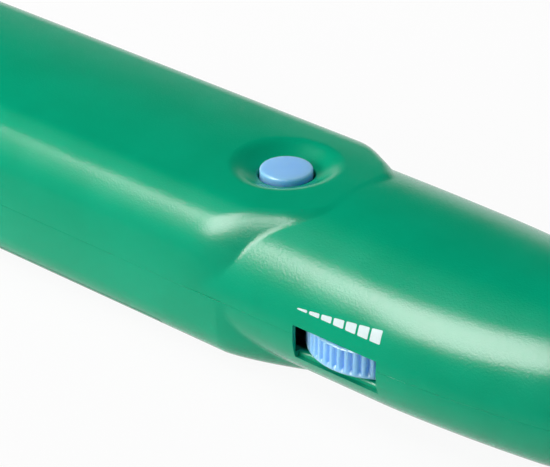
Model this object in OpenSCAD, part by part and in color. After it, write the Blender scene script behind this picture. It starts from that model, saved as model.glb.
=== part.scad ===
// Hand-held cable locator: a two-shell housing with a round push button on top,
// a ribbed thumbwheel in a side slot, a sliding battery door on the back and a black probe tip.
// It lies on its back: +X runs to the probe tip, the wheel is on the -Y side, +Z leaves the button face.
// The origin is on the back, midway along the whole length.

/* [Housing] */
// Overall length with the probe tip
body_l = 218; // [206:1:232]
// Width of the grip
body_w = 46; // [44:0.5:50]
// Height of the grip from its back to its button face
body_h = 29; // [28.5:0.1:31]
// Height of the joint between the two shells
parting_z = 13.1; // [12.8:0.1:13.6]
// Thickness of the shells
wall = 2.2; // [1.8:0.1:2.5]
// Rounding of the grip's edges on the button side
top_edge_r = 7.8; // [6:0.1:9]
// Rounding of the grip's edges on the back
back_edge_r = 6.7; // [5.5:0.1:7.5]
// Rounding of the grip's rear corners, seen from above
rear_corner_r = 12; // [10:0.5:15]

/* [Shoulder and neck] */
// Where the grip starts to narrow, as a share of the overall length from the rear end
shoulder_share = 0.5028; // [0.49:0.001:0.515]
// Length of the shoulder on the button side
top_shoulder_l = 25.2; // [20:0.1:30]
// Length of the shoulder on the back
back_shoulder_l = 39; // [32:0.5:42]
// Width of the neck
neck_w = 45.6; // [44:0.1:45.8]
// Step from the grip's top down to the neck's top
neck_drop = 0.15; // [0.05:0.05:0.6]
// Where the neck starts to taper, as a share of the overall length
taper_share = 0.6638; // [0.64:0.001:0.68]
// Where the neck's height starts to close, as a share of the overall length
closing_share = 0.8073; // [0.78:0.001:0.83]
// Where the nose is, as a share of the overall length
nose_share = 0.9083; // [0.89:0.001:0.925]
// Radius of the flat nose
nose_r = 9; // [8.6:0.1:11]

/* [Power button] */
// Where the button's centre is, as a share of the overall length
button_share = 0.4862; // [0.47:0.001:0.49]
// Radius of the button's cap
button_r = 4.85; // [4:0.05:5.5]
// Radial gap round the cap
button_gap = 0.4; // [0.3:0.05:0.6]
// Height of the cap above the grip's top
button_proud = 0.4; // [0:0.1:1.5]
// Travel of the button
button_travel = 0.8; // [0.4:0.1:1]
// Radius of the finger dish round the button
dish_r = 9.7; // [8:0.1:11]
// Depth of the finger dish
dish_depth = 1.5; // [0.8:0.1:1.8]

/* [Thumbwheel] */
// Where the wheel's axis is, as a share of the overall length
wheel_share = 0.628; // [0.62:0.001:0.637]
// How far the wheel stands out of the neck's side
wheel_proud = 0.3; // [0.2:0.05:0.8]
// Radius of the wheel over its ribs
wheel_r = 13.2; // [12.8:0.1:13.6]
// Thickness of the wheel
wheel_h = 5.1; // [4.5:0.1:5.4]
// Height of the wheel's lower face
wheel_z = 9.6; // [9.2:0.1:9.8]
// Number of ribs
wheel_ribs = 51; // [36:1:64]
// Length of the slot in the housing
slot_l = 18.75; // [17:0.25:20]

/* [Battery and door] */
// Length of the battery's case
battery_l = 46; // [44:0.5:47]
// Width of the battery
battery_w = 26.5; // [25:0.5:27.5]
// Height of the battery
battery_h = 17.5; // [16:0.5:18]
// Where the door's front edge is, as a share of the overall length
door_share = 0.433; // [0.4:0.001:0.44]
// Thickness of the door
door_t = 2.8; // [2.4:0.1:3]
// Gap round the door
door_gap = 0.2; // [0.15:0.05:0.3]

/* [Circuit board] */
// Distance from the neck's side to the board's edge
board_inset = 6.3; // [5.8:0.1:7.5]
// Thickness of the board
board_t = 1.6; // [1.2:0.1:1.8]

/* [Speaker] */
// Where the speaker's centre is, as a share of the overall length
speaker_share = 0.5046; // [0.502:0.001:0.51]
// Radius of the speaker
speaker_r = 13.5; // [12:0.1:13.8]
// Height of the speaker's basket
basket_h = 3; // [2.4:0.1:3.4]

/* [Probe] */
// Radius of the tip where it leaves the nose
tip_r = 7; // [6:0.1:7.4]
// Radius of the tip's rounded end
tip_end_r = 3; // [2.4:0.1:3.6]
// Radius of the antenna rod
rod_r = 1.2; // [0.8:0.1:1.5]

/* [Screws] */
// Radius of the case screws' shanks
case_screw_r = 1.45; // [1.2:0.05:1.6]
// Length of the case screws under the head
case_screw_l = 16; // [14:0.5:17]
// Radius of the board screws' shanks
board_screw_r = 1; // [0.8:0.05:1.2]

/* [Hidden] */

$fn = 48;

// Colours
shell_green = [0.02, 0.58, 0.42];
control_blue = [0.45, 0.68, 0.92];
tip_black = [0.06, 0.06, 0.06];
board_green = [0.05, 0.35, 0.15];
switch_grey = [0.25, 0.25, 0.27];
steel_grey = [0.72, 0.72, 0.74];
brass_gold = [0.78, 0.62, 0.28];
can_blue = [0.1, 0.15, 0.35];
resistor_grey = [0.2, 0.2, 0.2];
battery_grey = [0.15, 0.15, 0.16];

// Overrun of every cut, and the clearance of pieces that slide or turn in a bore
cut_over = 1;
running_gap = 0.05;
seat_gap = 0.3;

// Stations along the length
rear_x = -body_l / 2;
shoulder_x = rear_x + body_l * shoulder_share;
taper_x = rear_x + body_l * taper_share;
closing_x = rear_x + body_l * closing_share;
nose_x = rear_x + body_l * nose_share;
front_x = rear_x + body_l;
button_x = rear_x + body_l * button_share;
wheel_x = rear_x + body_l * wheel_share;
door_x = rear_x + body_l * door_share;
speaker_x = rear_x + body_l * speaker_share;

// Form of the housing: exponents of its rounded outlines, and facets round half a section
shoulder_power = 1.35;
neck_top_power = 2.67;
neck_back_power = 2.51;
taper_power = 1.54;
taper_root = 1.945;
outer_facets = 28;
inner_facets = 14;
rear_steps = 5;
shoulder_steps = 18;
taper_steps = 5;
closing_steps = 7;
halving_steps = 26;
end_skin = 0.05;

// Stations of the rings that make up a shell
stations = concat(
    [for (i = [0 : rear_steps]) rear_x + rear_corner_r * (1 - cos(90 * i / rear_steps))],
    [for (i = [0 : shoulder_steps]) shoulder_x + back_shoulder_l * i / shoulder_steps],
    [for (i = [1 : taper_steps]) between(shoulder_x + back_shoulder_l, closing_x, i / taper_steps)],
    [for (i = [1 : closing_steps]) between(closing_x, nose_x, sin(90 * i / closing_steps))]
);
station_count = len(stations);

// Heights inside, from the wheel up to the button
slot_floor_gap = 0.7;
slot_roof_gap = 0.25;
slot_floor_z = wheel_z - slot_floor_gap;
slot_roof_z = wheel_z + wheel_h + slot_roof_gap;
wheel_clear = 0.6;
pot_h = 4;
pot_share = 0.606;
pot_r = wheel_r * pot_share;
pot_z = wheel_z + wheel_h + seat_gap;
board_z = pot_z + pot_h;
board_top = board_z + board_t;
pad_t = 2;
pad_z = body_h - dish_depth - pad_t;
flange_t = 1;
flange_r = 6.4;
flange_z = pad_z - seat_gap - flange_t;

// Switch under the button
switch_w = 6;
switch_slack = 0.4;
switch_top = flange_z - button_travel - switch_slack;
plunger_r = 1.75;
plunger_grip = 1;

// Power button's cap
cap_edge = 0.5;

// Thumbwheel, its shaft and its screw
wheel_off = neck_w / 2 + wheel_proud - wheel_r;
rib_depth = 0.7;
rib_foot_share = 0.62;
rib_crest_share = 0.34;
rim_t = 2.6;
web_recess = 1.2;
hub_r = 5.2;
shaft_r = 3;
shaft_sink = 2.2;
screw_head_h = 1.3;
screw_head_r = 2.4;
wheel_screw_r = 0.9;
wheel_screw_l = 4;
shelf_t = 1.7;
shelf_reach = 1.7;
terminal_r = 0.5;
terminal_pitch = 5;
terminal_row = 6;
terminal_h = 2.4;

// Door, its rails and the bay above it
floor_z = door_t + door_gap;
floor_t = 2.4;
rail_y = 18.2;
rail_w = 2;
rail_flare = 0.6;
rail_h = 1.7;
rail_gap = 0.25;
ridge_count = 5;
ridge_pitch = 2.4;
ridge_w = 1.1;
ridge_depth = 0.5;
ridge_l = 18;
ridge_at = 6;
battery_rear_gap = 5;
bay_gap = 0.6;
rib_t = 1.4;
bay_wall_gap = 0.9;
wire_notch_w = 14;
wire_notch_h = 3.4;
battery_x = rear_x + battery_rear_gap;
battery_z = door_t + seat_gap;
stud_h = 2.6;
stud_pitch = 12.7;
male_r = 2.9;
female_r = 3.9;
stud_z = battery_z + battery_h / 2;
snap_t = 4.6;
snap_w = 24.5;
snap_h = 12;
snap_x = battery_x + battery_l + seat_gap;
snap_front = snap_x + snap_t;
bay_wall_x = snap_front + bay_wall_gap;

// Board, its posts and its parts
boss_r = 3.6;
boss_gap = 2.8;
front_screw_share = 0.7936;
rear_screw_x = bay_wall_x + rib_t + boss_gap + boss_r;
front_screw_x = rear_x + body_l * front_screw_share;
board_x = rear_screw_x + boss_r + boss_gap;
board_front = front_screw_x - boss_r - boss_gap;
board_l = board_front - board_x;
board_w = neck_w - 2 * board_inset;
post_r = 3;
post_inset = 4.5;
post_drop = 1;
board_pilot_l = 4;
board_head_h = 1.5;
board_head_r = 1.9;
chip_l = 9.6;
chip_w = 6.4;
chip_h = 3.3;
chip_row_share = 0.2;
can_r = 2.5;
can_h = 4.6;
can_row_shares = [-0.1, -0.3];
behind_wheel_x = (button_x + wheel_x) / 2;
before_wheel_x = (wheel_x + board_front) / 2;
chips_at = [
    for (x = [behind_wheel_x, wheel_x, before_wheel_x])
        [x, chip_row_share * board_w, board_top]
];
cans_at = [
    for (x = [behind_wheel_x, before_wheel_x])
        for (share = can_row_shares)
            [x, share * board_w, board_top]
];
resistor_l = 3.2;
resistor_w = 1.6;
resistor_h = 0.6;
resistor_count = 8;
resistor_row_share = 0.4;
resistor_step_share = 0.045;

// Speaker, its seat and its slots
seat_z = wall + seat_gap;
seat_ring_t = 1.4;
seat_ring_h = 3.2;
speaker_gap = 0.25;
basket_t = 0.6;
cone_t = 0.4;
cone_rim = 1.2;
cone_depth = 1.1;
magnet_r = 7;
magnet_h = 2.6;
grille_count = 5;
grille_pitch = 4;
grille_w = 1.9;
grille_l = 17;
lead_r = 0.6;
lead_sides = 6;
speaker_lead_y = 2.4;
speaker_lead_r_share = 0.78;
speaker_lead_sway = 3;
lead_bend_shares = [0.2, 0.5, 0.8];

// Probe tip and antenna
tip_axis_z = parting_z;
tip_flange_r = 8.4;
tip_flange_t = 3;
tip_flange_back = 1.2;
tip_gap = 0.1;
rod_share = 0.1376;
rod_l = body_l * rod_share;
rod_end_gap = 3;
antenna_lead_y = 0;
antenna_rise = 3;
antenna_land = 5;
antenna_run = 4;
rise_share = 0.4;

// Screws and their bosses
boss_sink_share = 0.5;
screw_clear = 0.25;
case_head_r = 2.7;
case_head_h = 2;
head_clear = 0.35;
pilot_over = 1;
rear_screw_y = 11.5;
rear_seat_z = floor_z + floor_t;
front_screw_y_share = 0.1623;
front_screw_y = neck_w * front_screw_y_share;
front_seat_z = 4.4;
grip_roof = body_h - wall;
neck_roof = grip_roof - neck_drop;
boss_top = grip_roof + wall * boss_sink_share;
case_screws_at = [
    [rear_screw_x, rear_screw_y, rear_seat_z, boss_top],
    [rear_screw_x, -rear_screw_y, rear_seat_z, boss_top],
    [front_screw_x, front_screw_y, front_seat_z, neck_roof],
    [front_screw_x, -front_screw_y, front_seat_z, neck_roof]
];
board_screws_at = [
    for (end = [[board_x + post_inset, boss_top], [board_front - post_inset, neck_roof - post_drop]])
        for (side = [-1, 1])
            [end[0], side * (board_w / 2 - post_inset), board_z, end[1]]
];

function between(a, b, t) = a + (b - a) * t;

function clamped(t) = min(max(t, 0), 1);

// How far a point lies inside the grip's outline, seen from above
function plan_depth(x, y, inset, reach) =
    let (half = body_w / 2 - inset)
    x > shoulder_x
        ? let (
            span = reach - inset,
            u = (x - shoulder_x) / span,
            v = abs(y) / half,
            p = shoulder_power,
            rho = pow(pow(u, p) + pow(v, p), 1 / p),
            slope = norm([pow(u, p - 1) / span, pow(v, p - 1) / half]) * pow(rho, 1 - p)
        ) (1 - rho) / slope
        : let (
            r = rear_corner_r - inset,
            behind = max(rear_x + inset + r - x, 0),
            beside = max(abs(y) - half + r, 0)
        ) r - norm([behind, beside]);

// Whether the grip holds a point whose height counts from the joint; side is 1 above it and -1 below it
function grip_holds(x, y, z, inset, side) =
    let (
        depth = plan_depth(x, y, inset, side > 0 ? top_shoulder_l : back_shoulder_l),
        edge_r = (side > 0 ? top_edge_r : back_edge_r) - inset,
        rise = sqrt(max(pow(edge_r, 2) - pow(max(edge_r - depth, 0), 2), 0)),
        tall = (side > 0 ? body_h - parting_z : parting_z) - inset
    ) depth > 0 && abs(z) < tall - edge_r + rise;

// Distance from the joint's centre line to the grip's surface, found by halving
function grip_radius(x, a, inset, side, low, high, steps) =
    let (mid = (low + high) / 2)
    steps == 0 ? low
        : grip_holds(x, mid * cos(a), mid * sin(a), inset, side)
            ? grip_radius(x, a, inset, side, mid, high, steps - 1)
            : grip_radius(x, a, inset, side, low, mid, steps - 1);

// Distance from the joint's centre line to the neck's surface
function neck_radius(x, a, inset, side) =
    let (
        t = clamped((x - taper_x) / (nose_x - taper_x)),
        u = clamped((x - closing_x) / (nose_x - closing_x)),
        half_w = between(nose_r, neck_w / 2, pow(1 - pow(t, taper_power), 1 / taper_root)) - inset,
        tall = side > 0 ? body_h - neck_drop - parting_z : parting_z,
        half_h = between(nose_r, tall, sqrt(1 - u * u)) - inset,
        p = between(side > 0 ? neck_top_power : neck_back_power, 2, u)
    ) pow(pow(abs(cos(a)) / half_w, p) + pow(abs(sin(a)) / half_h, p), -1 / p);

function shell_radius(x, a, inset, side) =
    let (
        inner_x = min(max(x, rear_x + inset + end_skin), nose_x - inset),
        reach = side > 0 ? top_shoulder_l : back_shoulder_l,
        grip = inner_x < shoulder_x + reach - inset
            ? grip_radius(inner_x, a, inset, side, 0, body_w, halving_steps) : 0
    ) inner_x < shoulder_x ? grip : max(grip, neck_radius(inner_x, a, inset, side));

// One half ring of points round the joint's centre line, from the near or far edge over the top or the back
function half_ring(x, inset, side, facets) = [
    for (j = [0 : facets])
        let (a = (side > 0 ? 0 : 180) + 180 * j / facets, r = shell_radius(x, a, inset, side))
            [x, r * cos(a), parting_z + r * sin(a)]
];

// All rings of a skin at an inset, end to end
function skin_points(inset, side, facets) = [
    for (x = stations)
        let (share = (x - rear_x) / (nose_x - rear_x))
            each half_ring(between(rear_x + inset, nose_x - inset, share), inset, side, facets)
];

// Faces of a skin whose points start at a given index, looking outwards or, for a cavity, inwards
function skin_faces(first, facets, inwards) =
    let (row = facets + 1)
    [
        for (i = [0 : station_count - 2])
            for (j = [0 : facets - 1])
                let (p = first + i * row + j, q = p + row)
                    each inwards
                        ? [[p, p + 1, q + 1], [p, q + 1, q]]
                        : [[p, q + 1, p + 1], [p, q, q + 1]]
    ];

function ring_row(first, facets, i) = [for (j = [0 : facets]) first + i * (facets + 1) + j];

// Faces that close the end of a skin, fanned from a point on the joint's centre line
function cap_faces(row, centre, flipped) = [
    for (j = [0 : len(row) - 2])
        flipped ? [centre, row[j + 1], row[j]] : [centre, row[j], row[j + 1]]
];

// The points on the joint's centre line at the two ends of a skin
function end_centres(inset) = [for (x = [rear_x + inset, nose_x - inset]) [x, 0, parting_z]];

// One housing half: an outer skin, an inner skin and the flat rim between them
module half_shell(side) {
    last = station_count - 1;
    inner_first = station_count * (outer_facets + 1);
    outer_rear = inner_first + station_count * (inner_facets + 1);
    outer_front = outer_rear + 1;
    inner_rear = outer_rear + 2;
    inner_front = outer_rear + 3;
    outer_rows = [for (i = [0 : last]) ring_row(0, outer_facets, i)];
    inner_rows = [for (i = [0 : last]) ring_row(inner_first, inner_facets, i)];
    polyhedron(
        points = concat(
            skin_points(0, side, outer_facets),
            skin_points(wall, side, inner_facets),
            end_centres(0),
            end_centres(wall)
        ),
        faces = concat(
            skin_faces(0, outer_facets, false),
            skin_faces(inner_first, inner_facets, true),
            cap_faces(outer_rows[0], outer_rear, false),
            cap_faces(outer_rows[last], outer_front, true),
            cap_faces(inner_rows[0], inner_rear, true),
            cap_faces(inner_rows[last], inner_front, false),
            [for (i = [0 : last - 1])
                [outer_rows[i][0], inner_rows[i][0], inner_rows[i + 1][0], outer_rows[i + 1][0]]],
            [for (i = [0 : last - 1])
                [
                    outer_rows[i][outer_facets], outer_rows[i + 1][outer_facets],
                    inner_rows[i + 1][inner_facets], inner_rows[i][inner_facets]
                ]],
            [
                [outer_rows[0][0], outer_rear, inner_rear, inner_rows[0][0]],
                [outer_rear, outer_rows[0][outer_facets], inner_rows[0][inner_facets], inner_rear],
                [inner_rows[last][0], inner_front, outer_front, outer_rows[last][0]],
                [
                    inner_front, inner_rows[last][inner_facets],
                    outer_rows[last][outer_facets], outer_front
                ]
            ]
        )
    );
}

// The filled half of the housing at an inset, cut flat at the joint
module half_solid(side, inset, facets) {
    last = station_count - 1;
    rear = station_count * (facets + 1);
    front = rear + 1;
    rows = [for (i = [0 : last]) ring_row(0, facets, i)];
    polyhedron(
        points = concat(skin_points(inset, side, facets), end_centres(inset)),
        faces = concat(
            skin_faces(0, facets, false),
            cap_faces(rows[0], rear, false),
            cap_faces(rows[last], front, true),
            [for (i = [1 : last - 2]) [rows[i][0], rows[i][facets], rows[i + 1][facets], rows[i + 1][0]]],
            [
                [rows[1][0], rows[0][0], rear, rows[0][facets], rows[1][facets]],
                [rows[last - 1][facets], rows[last][facets], front, rows[last][0], rows[last - 1][0]]
            ]
        )
    );
}

// A block given by its low corner and its high corner
module block(low, high) {
    translate(low)
        cube(high - low);
}

// An upright rod between two heights
module rod(x, y, low, high, r) {
    translate([x, y, low])
        cylinder(h = high - low, r = r);
}

// A solid turned about the probe's axis from a profile of radius and place along X
module turned_along_x(profile) {
    translate([0, 0, tip_axis_z])
        rotate([0, 90, 0])
            rotate_extrude()
                polygon(profile);
}

// A wire along a route, with square ends
module wire(route) {
    last = len(route) - 1;
    ring = function (i)
        let (
            ahead = route[min(i + 1, last)] - route[max(i - 1, 0)],
            d = ahead / norm(ahead),
            s = cross(abs(d.y) < 0.9 ? [0, 1, 0] : [1, 0, 0], d),
            u = s / norm(s),
            v = cross(d, u)
        ) [for (k = [0 : lead_sides - 1]) route[i] + lead_r * (cos(360 * k / lead_sides) * u
            + sin(360 * k / lead_sides) * v)];
    polyhedron(
        points = [for (i = [0 : last]) each ring(i)],
        faces = concat(
            [[for (k = [0 : lead_sides - 1]) k]],
            [for (i = [0 : last - 1]) for (k = [0 : lead_sides - 1])
                let (p = i * lead_sides, n = (k + 1) % lead_sides)
                    each [
                        [p + k, p + lead_sides + k, p + lead_sides + n],
                        [p + k, p + lead_sides + n, p + n]
                    ]],
            [[for (k = [lead_sides - 1 : -1 : 0]) last * lead_sides + k]]
        )
    );
}

module slot_cut() {
    block(
        [wheel_x - slot_l / 2, -body_w / 2 - cut_over, slot_floor_z],
        [wheel_x + slot_l / 2, -wheel_off, slot_roof_z]
    );
    rod(wheel_x, -wheel_off, slot_floor_z, slot_roof_z, wheel_r + wheel_clear);
}

module tip_bore() {
    translate([nose_x - wall - cut_over, 0, tip_axis_z])
        rotate([0, 90, 0])
            cylinder(h = wall + 2 * cut_over, r = tip_r + tip_gap);
}

module top_shell() {
    dish_ball_r = (dish_r * dish_r + dish_depth * dish_depth) / (2 * dish_depth);
    color(shell_green)
        difference() {
            union() {
                half_shell(1);
                rod(button_x, 0, pad_z, boss_top, flange_r + seat_gap);
                for (place = board_screws_at)
                    rod(place.x, place.y, board_top, place[3], post_r);
                for (place = case_screws_at)
                    rod(place.x, place.y, parting_z, place[3], boss_r);
            }
            rod(button_x, 0, pad_z - cut_over, body_h + cut_over, button_r + button_gap);
            translate([button_x, 0, body_h - dish_depth + dish_ball_r])
                sphere(r = dish_ball_r);
            for (place = board_screws_at)
                rod(
                    place.x, place.y, board_top - cut_over,
                    board_top + board_pilot_l, board_screw_r + running_gap
                );
            for (place = case_screws_at)
                rod(
                    place.x, place.y, parting_z - cut_over,
                    place.z + case_screw_l + pilot_over, case_screw_r + running_gap
                );
            slot_cut();
            tip_bore();
        }
}

module floor_plate() {
    plate_front = door_x + door_gap + wall;
    intersection() {
        half_solid(-1, wall * boss_sink_share, inner_facets);
        union() {
            block([rear_x, -body_w, floor_z], [plate_front, body_w, floor_z + floor_t]);
            block([door_x + door_gap, -body_w, 0], [plate_front, body_w, floor_z + floor_t]);
        }
    }
}

module battery_bay_ribs() {
    bay_y = battery_w / 2 + bay_gap;
    for (side = [-1, 1])
        translate([battery_x, side * (bay_y + rib_t / 2) - rib_t / 2, floor_z + floor_t / 2])
            cube([battery_l, rib_t, parting_z - floor_z - floor_t / 2]);
    difference() {
        block(
            [bay_wall_x, -bay_y - rib_t, floor_z + floor_t / 2],
            [bay_wall_x + rib_t, bay_y + rib_t, parting_z]
        );
        block(
            [bay_wall_x - cut_over, -wire_notch_w / 2, parting_z - wire_notch_h],
            [bay_wall_x + rib_t + cut_over, wire_notch_w / 2, parting_z + cut_over]
        );
    }
}

module wheel_shelf() {
    shelf_r = wheel_r + shelf_reach;
    intersection() {
        half_solid(-1, wall * boss_sink_share, inner_facets);
        block(
            [wheel_x - shelf_r, -body_w / 2, slot_floor_z - shelf_t],
            [wheel_x + shelf_r, -wheel_off - screw_head_r - seat_gap, slot_floor_z]
        );
    }
}

module speaker_seat() {
    seat_r = speaker_r + speaker_gap + seat_ring_t;
    rod(speaker_x, 0, wall * boss_sink_share, seat_z + seat_ring_h, seat_r);
}

module speaker_bore() {
    rod(speaker_x, 0, seat_z, seat_z + seat_ring_h + cut_over, speaker_r + speaker_gap);
}

module grille_cut() {
    for (i = [0 : grille_count - 1])
        translate([speaker_x + (i - (grille_count - 1) / 2) * grille_pitch, 0, -cut_over])
            linear_extrude(seat_z + 2 * cut_over)
                union() {
                    square([grille_w, grille_l - grille_w], center = true);
                    for (side = [-1, 1])
                        translate([0, side * (grille_l - grille_w) / 2])
                            circle(d = grille_w);
                }
}

module rail_profile(gap) {
    foot = rail_w / 2 + gap;
    crest = rail_w / 2 + rail_flare + gap;
    polygon([[-foot, 0], [foot, 0], [crest, rail_h + gap], [-crest, rail_h + gap]]);
}

module rails(start, stop, low, gap) {
    for (side = [-1, 1])
        translate([start, side * rail_y, low])
            rotate([90, 0, 90])
                linear_extrude(stop - start)
                    rail_profile(gap);
}

module bottom_shell() {
    color(shell_green)
        difference() {
            union() {
                difference() {
                    half_shell(-1);
                    block([rear_x - cut_over, -body_w, -cut_over], [door_x + door_gap, body_w, floor_z]);
                }
                floor_plate();
                battery_bay_ribs();
                wheel_shelf();
                speaker_seat();
                for (place = case_screws_at)
                    rod(place.x, place.y, place.z - case_head_h, parting_z, boss_r);
            }
            block(
                [battery_x - bay_gap, -battery_w / 2 - bay_gap, floor_z - cut_over],
                [snap_front + bay_gap, battery_w / 2 + bay_gap, floor_z + floor_t + cut_over]
            );
            rails(rear_x - cut_over, door_x + door_gap, floor_z, rail_gap);
            for (place = case_screws_at) {
                rod(place.x, place.y, -cut_over, parting_z + cut_over, case_screw_r + screw_clear);
                rod(place.x, place.y, -cut_over, place.z, case_head_r + head_clear);
            }
            slot_cut();
            speaker_bore();
            grille_cut();
            tip_bore();
        }
}

module battery_door() {
    rail_start = rear_x + rear_corner_r;
    color(shell_green)
        difference() {
            union() {
                intersection() {
                    half_solid(-1, 0, outer_facets);
                    block([rear_x - cut_over, -body_w, -cut_over], [door_x, body_w, door_t]);
                }
                rails(rail_start, door_x, door_t, 0);
            }
            for (i = [0 : ridge_count - 1])
                translate([door_x - ridge_at - i * ridge_pitch, -ridge_l / 2, -cut_over])
                    cube([ridge_w, ridge_l, ridge_depth + cut_over]);
        }
}

module power_button() {
    cap_top = body_h + button_proud;
    color(control_blue)
        translate([button_x, 0, 0])
            rotate_extrude()
                polygon([
                    [0, flange_z], [flange_r, flange_z], [flange_r, flange_z + flange_t],
                    [button_r, flange_z + flange_t], [button_r, cap_top - cap_edge],
                    [button_r - cap_edge, cap_top], [0, cap_top]
                ]);
}

module switch_plunger() {
    color("ivory")
        rod(button_x, 0, switch_top - plunger_grip, flange_z, plunger_r);
}

module switch_body() {
    well = plunger_grip + button_travel + seat_gap;
    color(switch_grey)
        difference() {
            block(
                [button_x - switch_w / 2, -switch_w / 2, board_top],
                [button_x + switch_w / 2, switch_w / 2, switch_top]
            );
            rod(button_x, 0, switch_top - well, switch_top + cut_over, plunger_r + running_gap);
        }
}

// One rib's outline as an angle share and a radius, foot to foot
function wheel_outline() =
    let (step = 360 / wheel_ribs, root_r = wheel_r - rib_depth)
    [
        for (i = [0 : wheel_ribs - 1])
            each [
                for (corner = [[-rib_foot_share, root_r], [-rib_crest_share, wheel_r],
                               [rib_crest_share, wheel_r], [rib_foot_share, root_r]])
                    let (a = step * (i + corner[0] / 2)) corner[1] * [cos(a), sin(a)]
            ]
    ];

module sensitivity_wheel() {
    head_room = screw_head_h + running_gap;
    color(control_blue)
        translate([wheel_x, -wheel_off, wheel_z])
            difference() {
                linear_extrude(wheel_h)
                    polygon(wheel_outline());
                difference() {
                    translate([0, 0, wheel_h - web_recess])
                        cylinder(h = web_recess + cut_over, r = wheel_r - rim_t);
                    cylinder(h = wheel_h + cut_over, r = hub_r);
                }
                translate([0, 0, head_room])
                    cylinder(h = wheel_h + cut_over, r = shaft_r + running_gap);
                translate([0, 0, -cut_over])
                    cylinder(h = head_room + 2 * cut_over, r = screw_head_r + running_gap);
            }
}

module wheel_screw() {
    color(steel_grey)
        translate([wheel_x, -wheel_off, wheel_z]) {
            cylinder(h = screw_head_h, r = screw_head_r);
            cylinder(h = screw_head_h + wheel_screw_l, r = wheel_screw_r);
        }
}

module pot_shaft() {
    shaft_z = wheel_z + screw_head_h + running_gap;
    color("silver")
        difference() {
            rod(wheel_x, -wheel_off, shaft_z, pot_z + shaft_sink, shaft_r);
            rod(
                wheel_x, -wheel_off, shaft_z - cut_over,
                shaft_z + wheel_screw_l + seat_gap, wheel_screw_r + running_gap
            );
        }
}

module potentiometer() {
    color(switch_grey)
        difference() {
            rod(wheel_x, -wheel_off, pot_z, board_z, pot_r);
            rod(wheel_x, -wheel_off, pot_z - cut_over, pot_z + shaft_sink + seat_gap, shaft_r + running_gap);
        }
}

module at_terminals() {
    row_y = -wheel_off - terminal_row / 2;
    for (i = [-1, 0, 1])
        translate([wheel_x + i * terminal_pitch, row_y + terminal_row * cos(i * 45), board_z])
            children();
}

module pot_terminals() {
    color(steel_grey)
        at_terminals()
            cylinder(h = terminal_h, r = terminal_r);
}

module circuit_board() {
    color(board_green)
        difference() {
            block([board_x, -board_w / 2, board_z], [board_front, board_w / 2, board_top]);
            for (place = board_screws_at)
                rod(place.x, place.y, board_z - cut_over, board_top + cut_over, board_screw_r + screw_clear);
            at_terminals()
                translate([0, 0, -cut_over])
                    cylinder(h = board_t + 2 * cut_over, r = terminal_r + running_gap);
        }
}

module chip_packages() {
    color(tip_black)
        for (place = chips_at)
            translate(place - [chip_l / 2, chip_w / 2, 0])
                cube([chip_l, chip_w, chip_h]);
}

module filter_capacitors() {
    color(can_blue)
        for (place = cans_at)
            translate(place)
                cylinder(h = can_h, r = can_r);
}

module chip_resistors() {
    first = [
        board_x + post_inset + post_r + resistor_w,
        resistor_row_share * board_w - resistor_l / 2,
        board_top
    ];
    color(resistor_grey)
        for (i = [0 : resistor_count - 1])
            translate(first + [i * resistor_step_share * board_l, 0, 0])
                cube([resistor_w, resistor_l, resistor_h]);
}

module speaker_basket() {
    inside_r = speaker_r - basket_t;
    color(steel_grey)
        translate([speaker_x, 0, seat_z])
            rotate_extrude()
                polygon([
                    [inside_r, 0], [speaker_r, 0], [speaker_r, basket_h], [0, basket_h],
                    [0, basket_h - basket_t], [inside_r, basket_h - basket_t]
                ]);
}

module speaker_cone() {
    rim_r = speaker_r - basket_t - running_gap;
    foot_r = magnet_r / 2;
    color("dimgray")
        translate([speaker_x, 0, seat_z])
            rotate_extrude()
                polygon([
                    [0, cone_depth], [foot_r, cone_depth], [rim_r - cone_rim, 0], [rim_r, 0],
                    [rim_r, cone_t], [rim_r - cone_rim, cone_t],
                    [foot_r, cone_depth + cone_t], [0, cone_depth + cone_t]
                ]);
}

module speaker_magnet() {
    color(switch_grey)
        rod(speaker_x, 0, seat_z + basket_h, seat_z + basket_h + magnet_h, magnet_r);
}

module speaker_leads() {
    start_x = speaker_x - speaker_r * speaker_lead_r_share;
    low = seat_z + basket_h;
    rise = board_z - low;
    color("firebrick")
        for (side = [-1, 1])
            wire([
                [start_x, side * speaker_lead_y, low],
                [start_x, side * speaker_lead_y, low + rise * lead_bend_shares[0]],
                [start_x - speaker_lead_sway / 2, side * speaker_lead_y, low + rise * lead_bend_shares[1]],
                [start_x - speaker_lead_sway, side * speaker_lead_y, low + rise * lead_bend_shares[2]],
                [start_x - speaker_lead_sway, side * speaker_lead_y, board_z]
            ]);
}

module probe_tip() {
    back = nose_x - wall - tip_flange_t;
    shank = nose_x - wall - tip_gap;
    bore_end = front_x - tip_end_r - rod_end_gap;
    color(tip_black)
        difference() {
            turned_along_x(concat(
                [
                    [0, back - tip_flange_back], [tip_flange_r - tip_flange_back, back - tip_flange_back],
                    [tip_flange_r, back], [tip_flange_r, shank], [tip_r, shank], [tip_r, nose_x]
                ],
                [for (a = [0 : 15 : 90]) [tip_end_r * cos(a), front_x - tip_end_r + tip_end_r * sin(a)]]
            ));
            translate([back - tip_flange_back - cut_over, 0, tip_axis_z])
                rotate([0, 90, 0])
                    cylinder(h = bore_end - back + tip_flange_back + cut_over, r = rod_r + running_gap);
        }
}

module antenna_rod() {
    rod_front = front_x - tip_end_r - rod_end_gap - seat_gap;
    color(brass_gold)
        translate([rod_front - rod_l, 0, tip_axis_z])
            rotate([0, 90, 0])
                cylinder(h = rod_l, r = rod_r);
}

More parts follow.
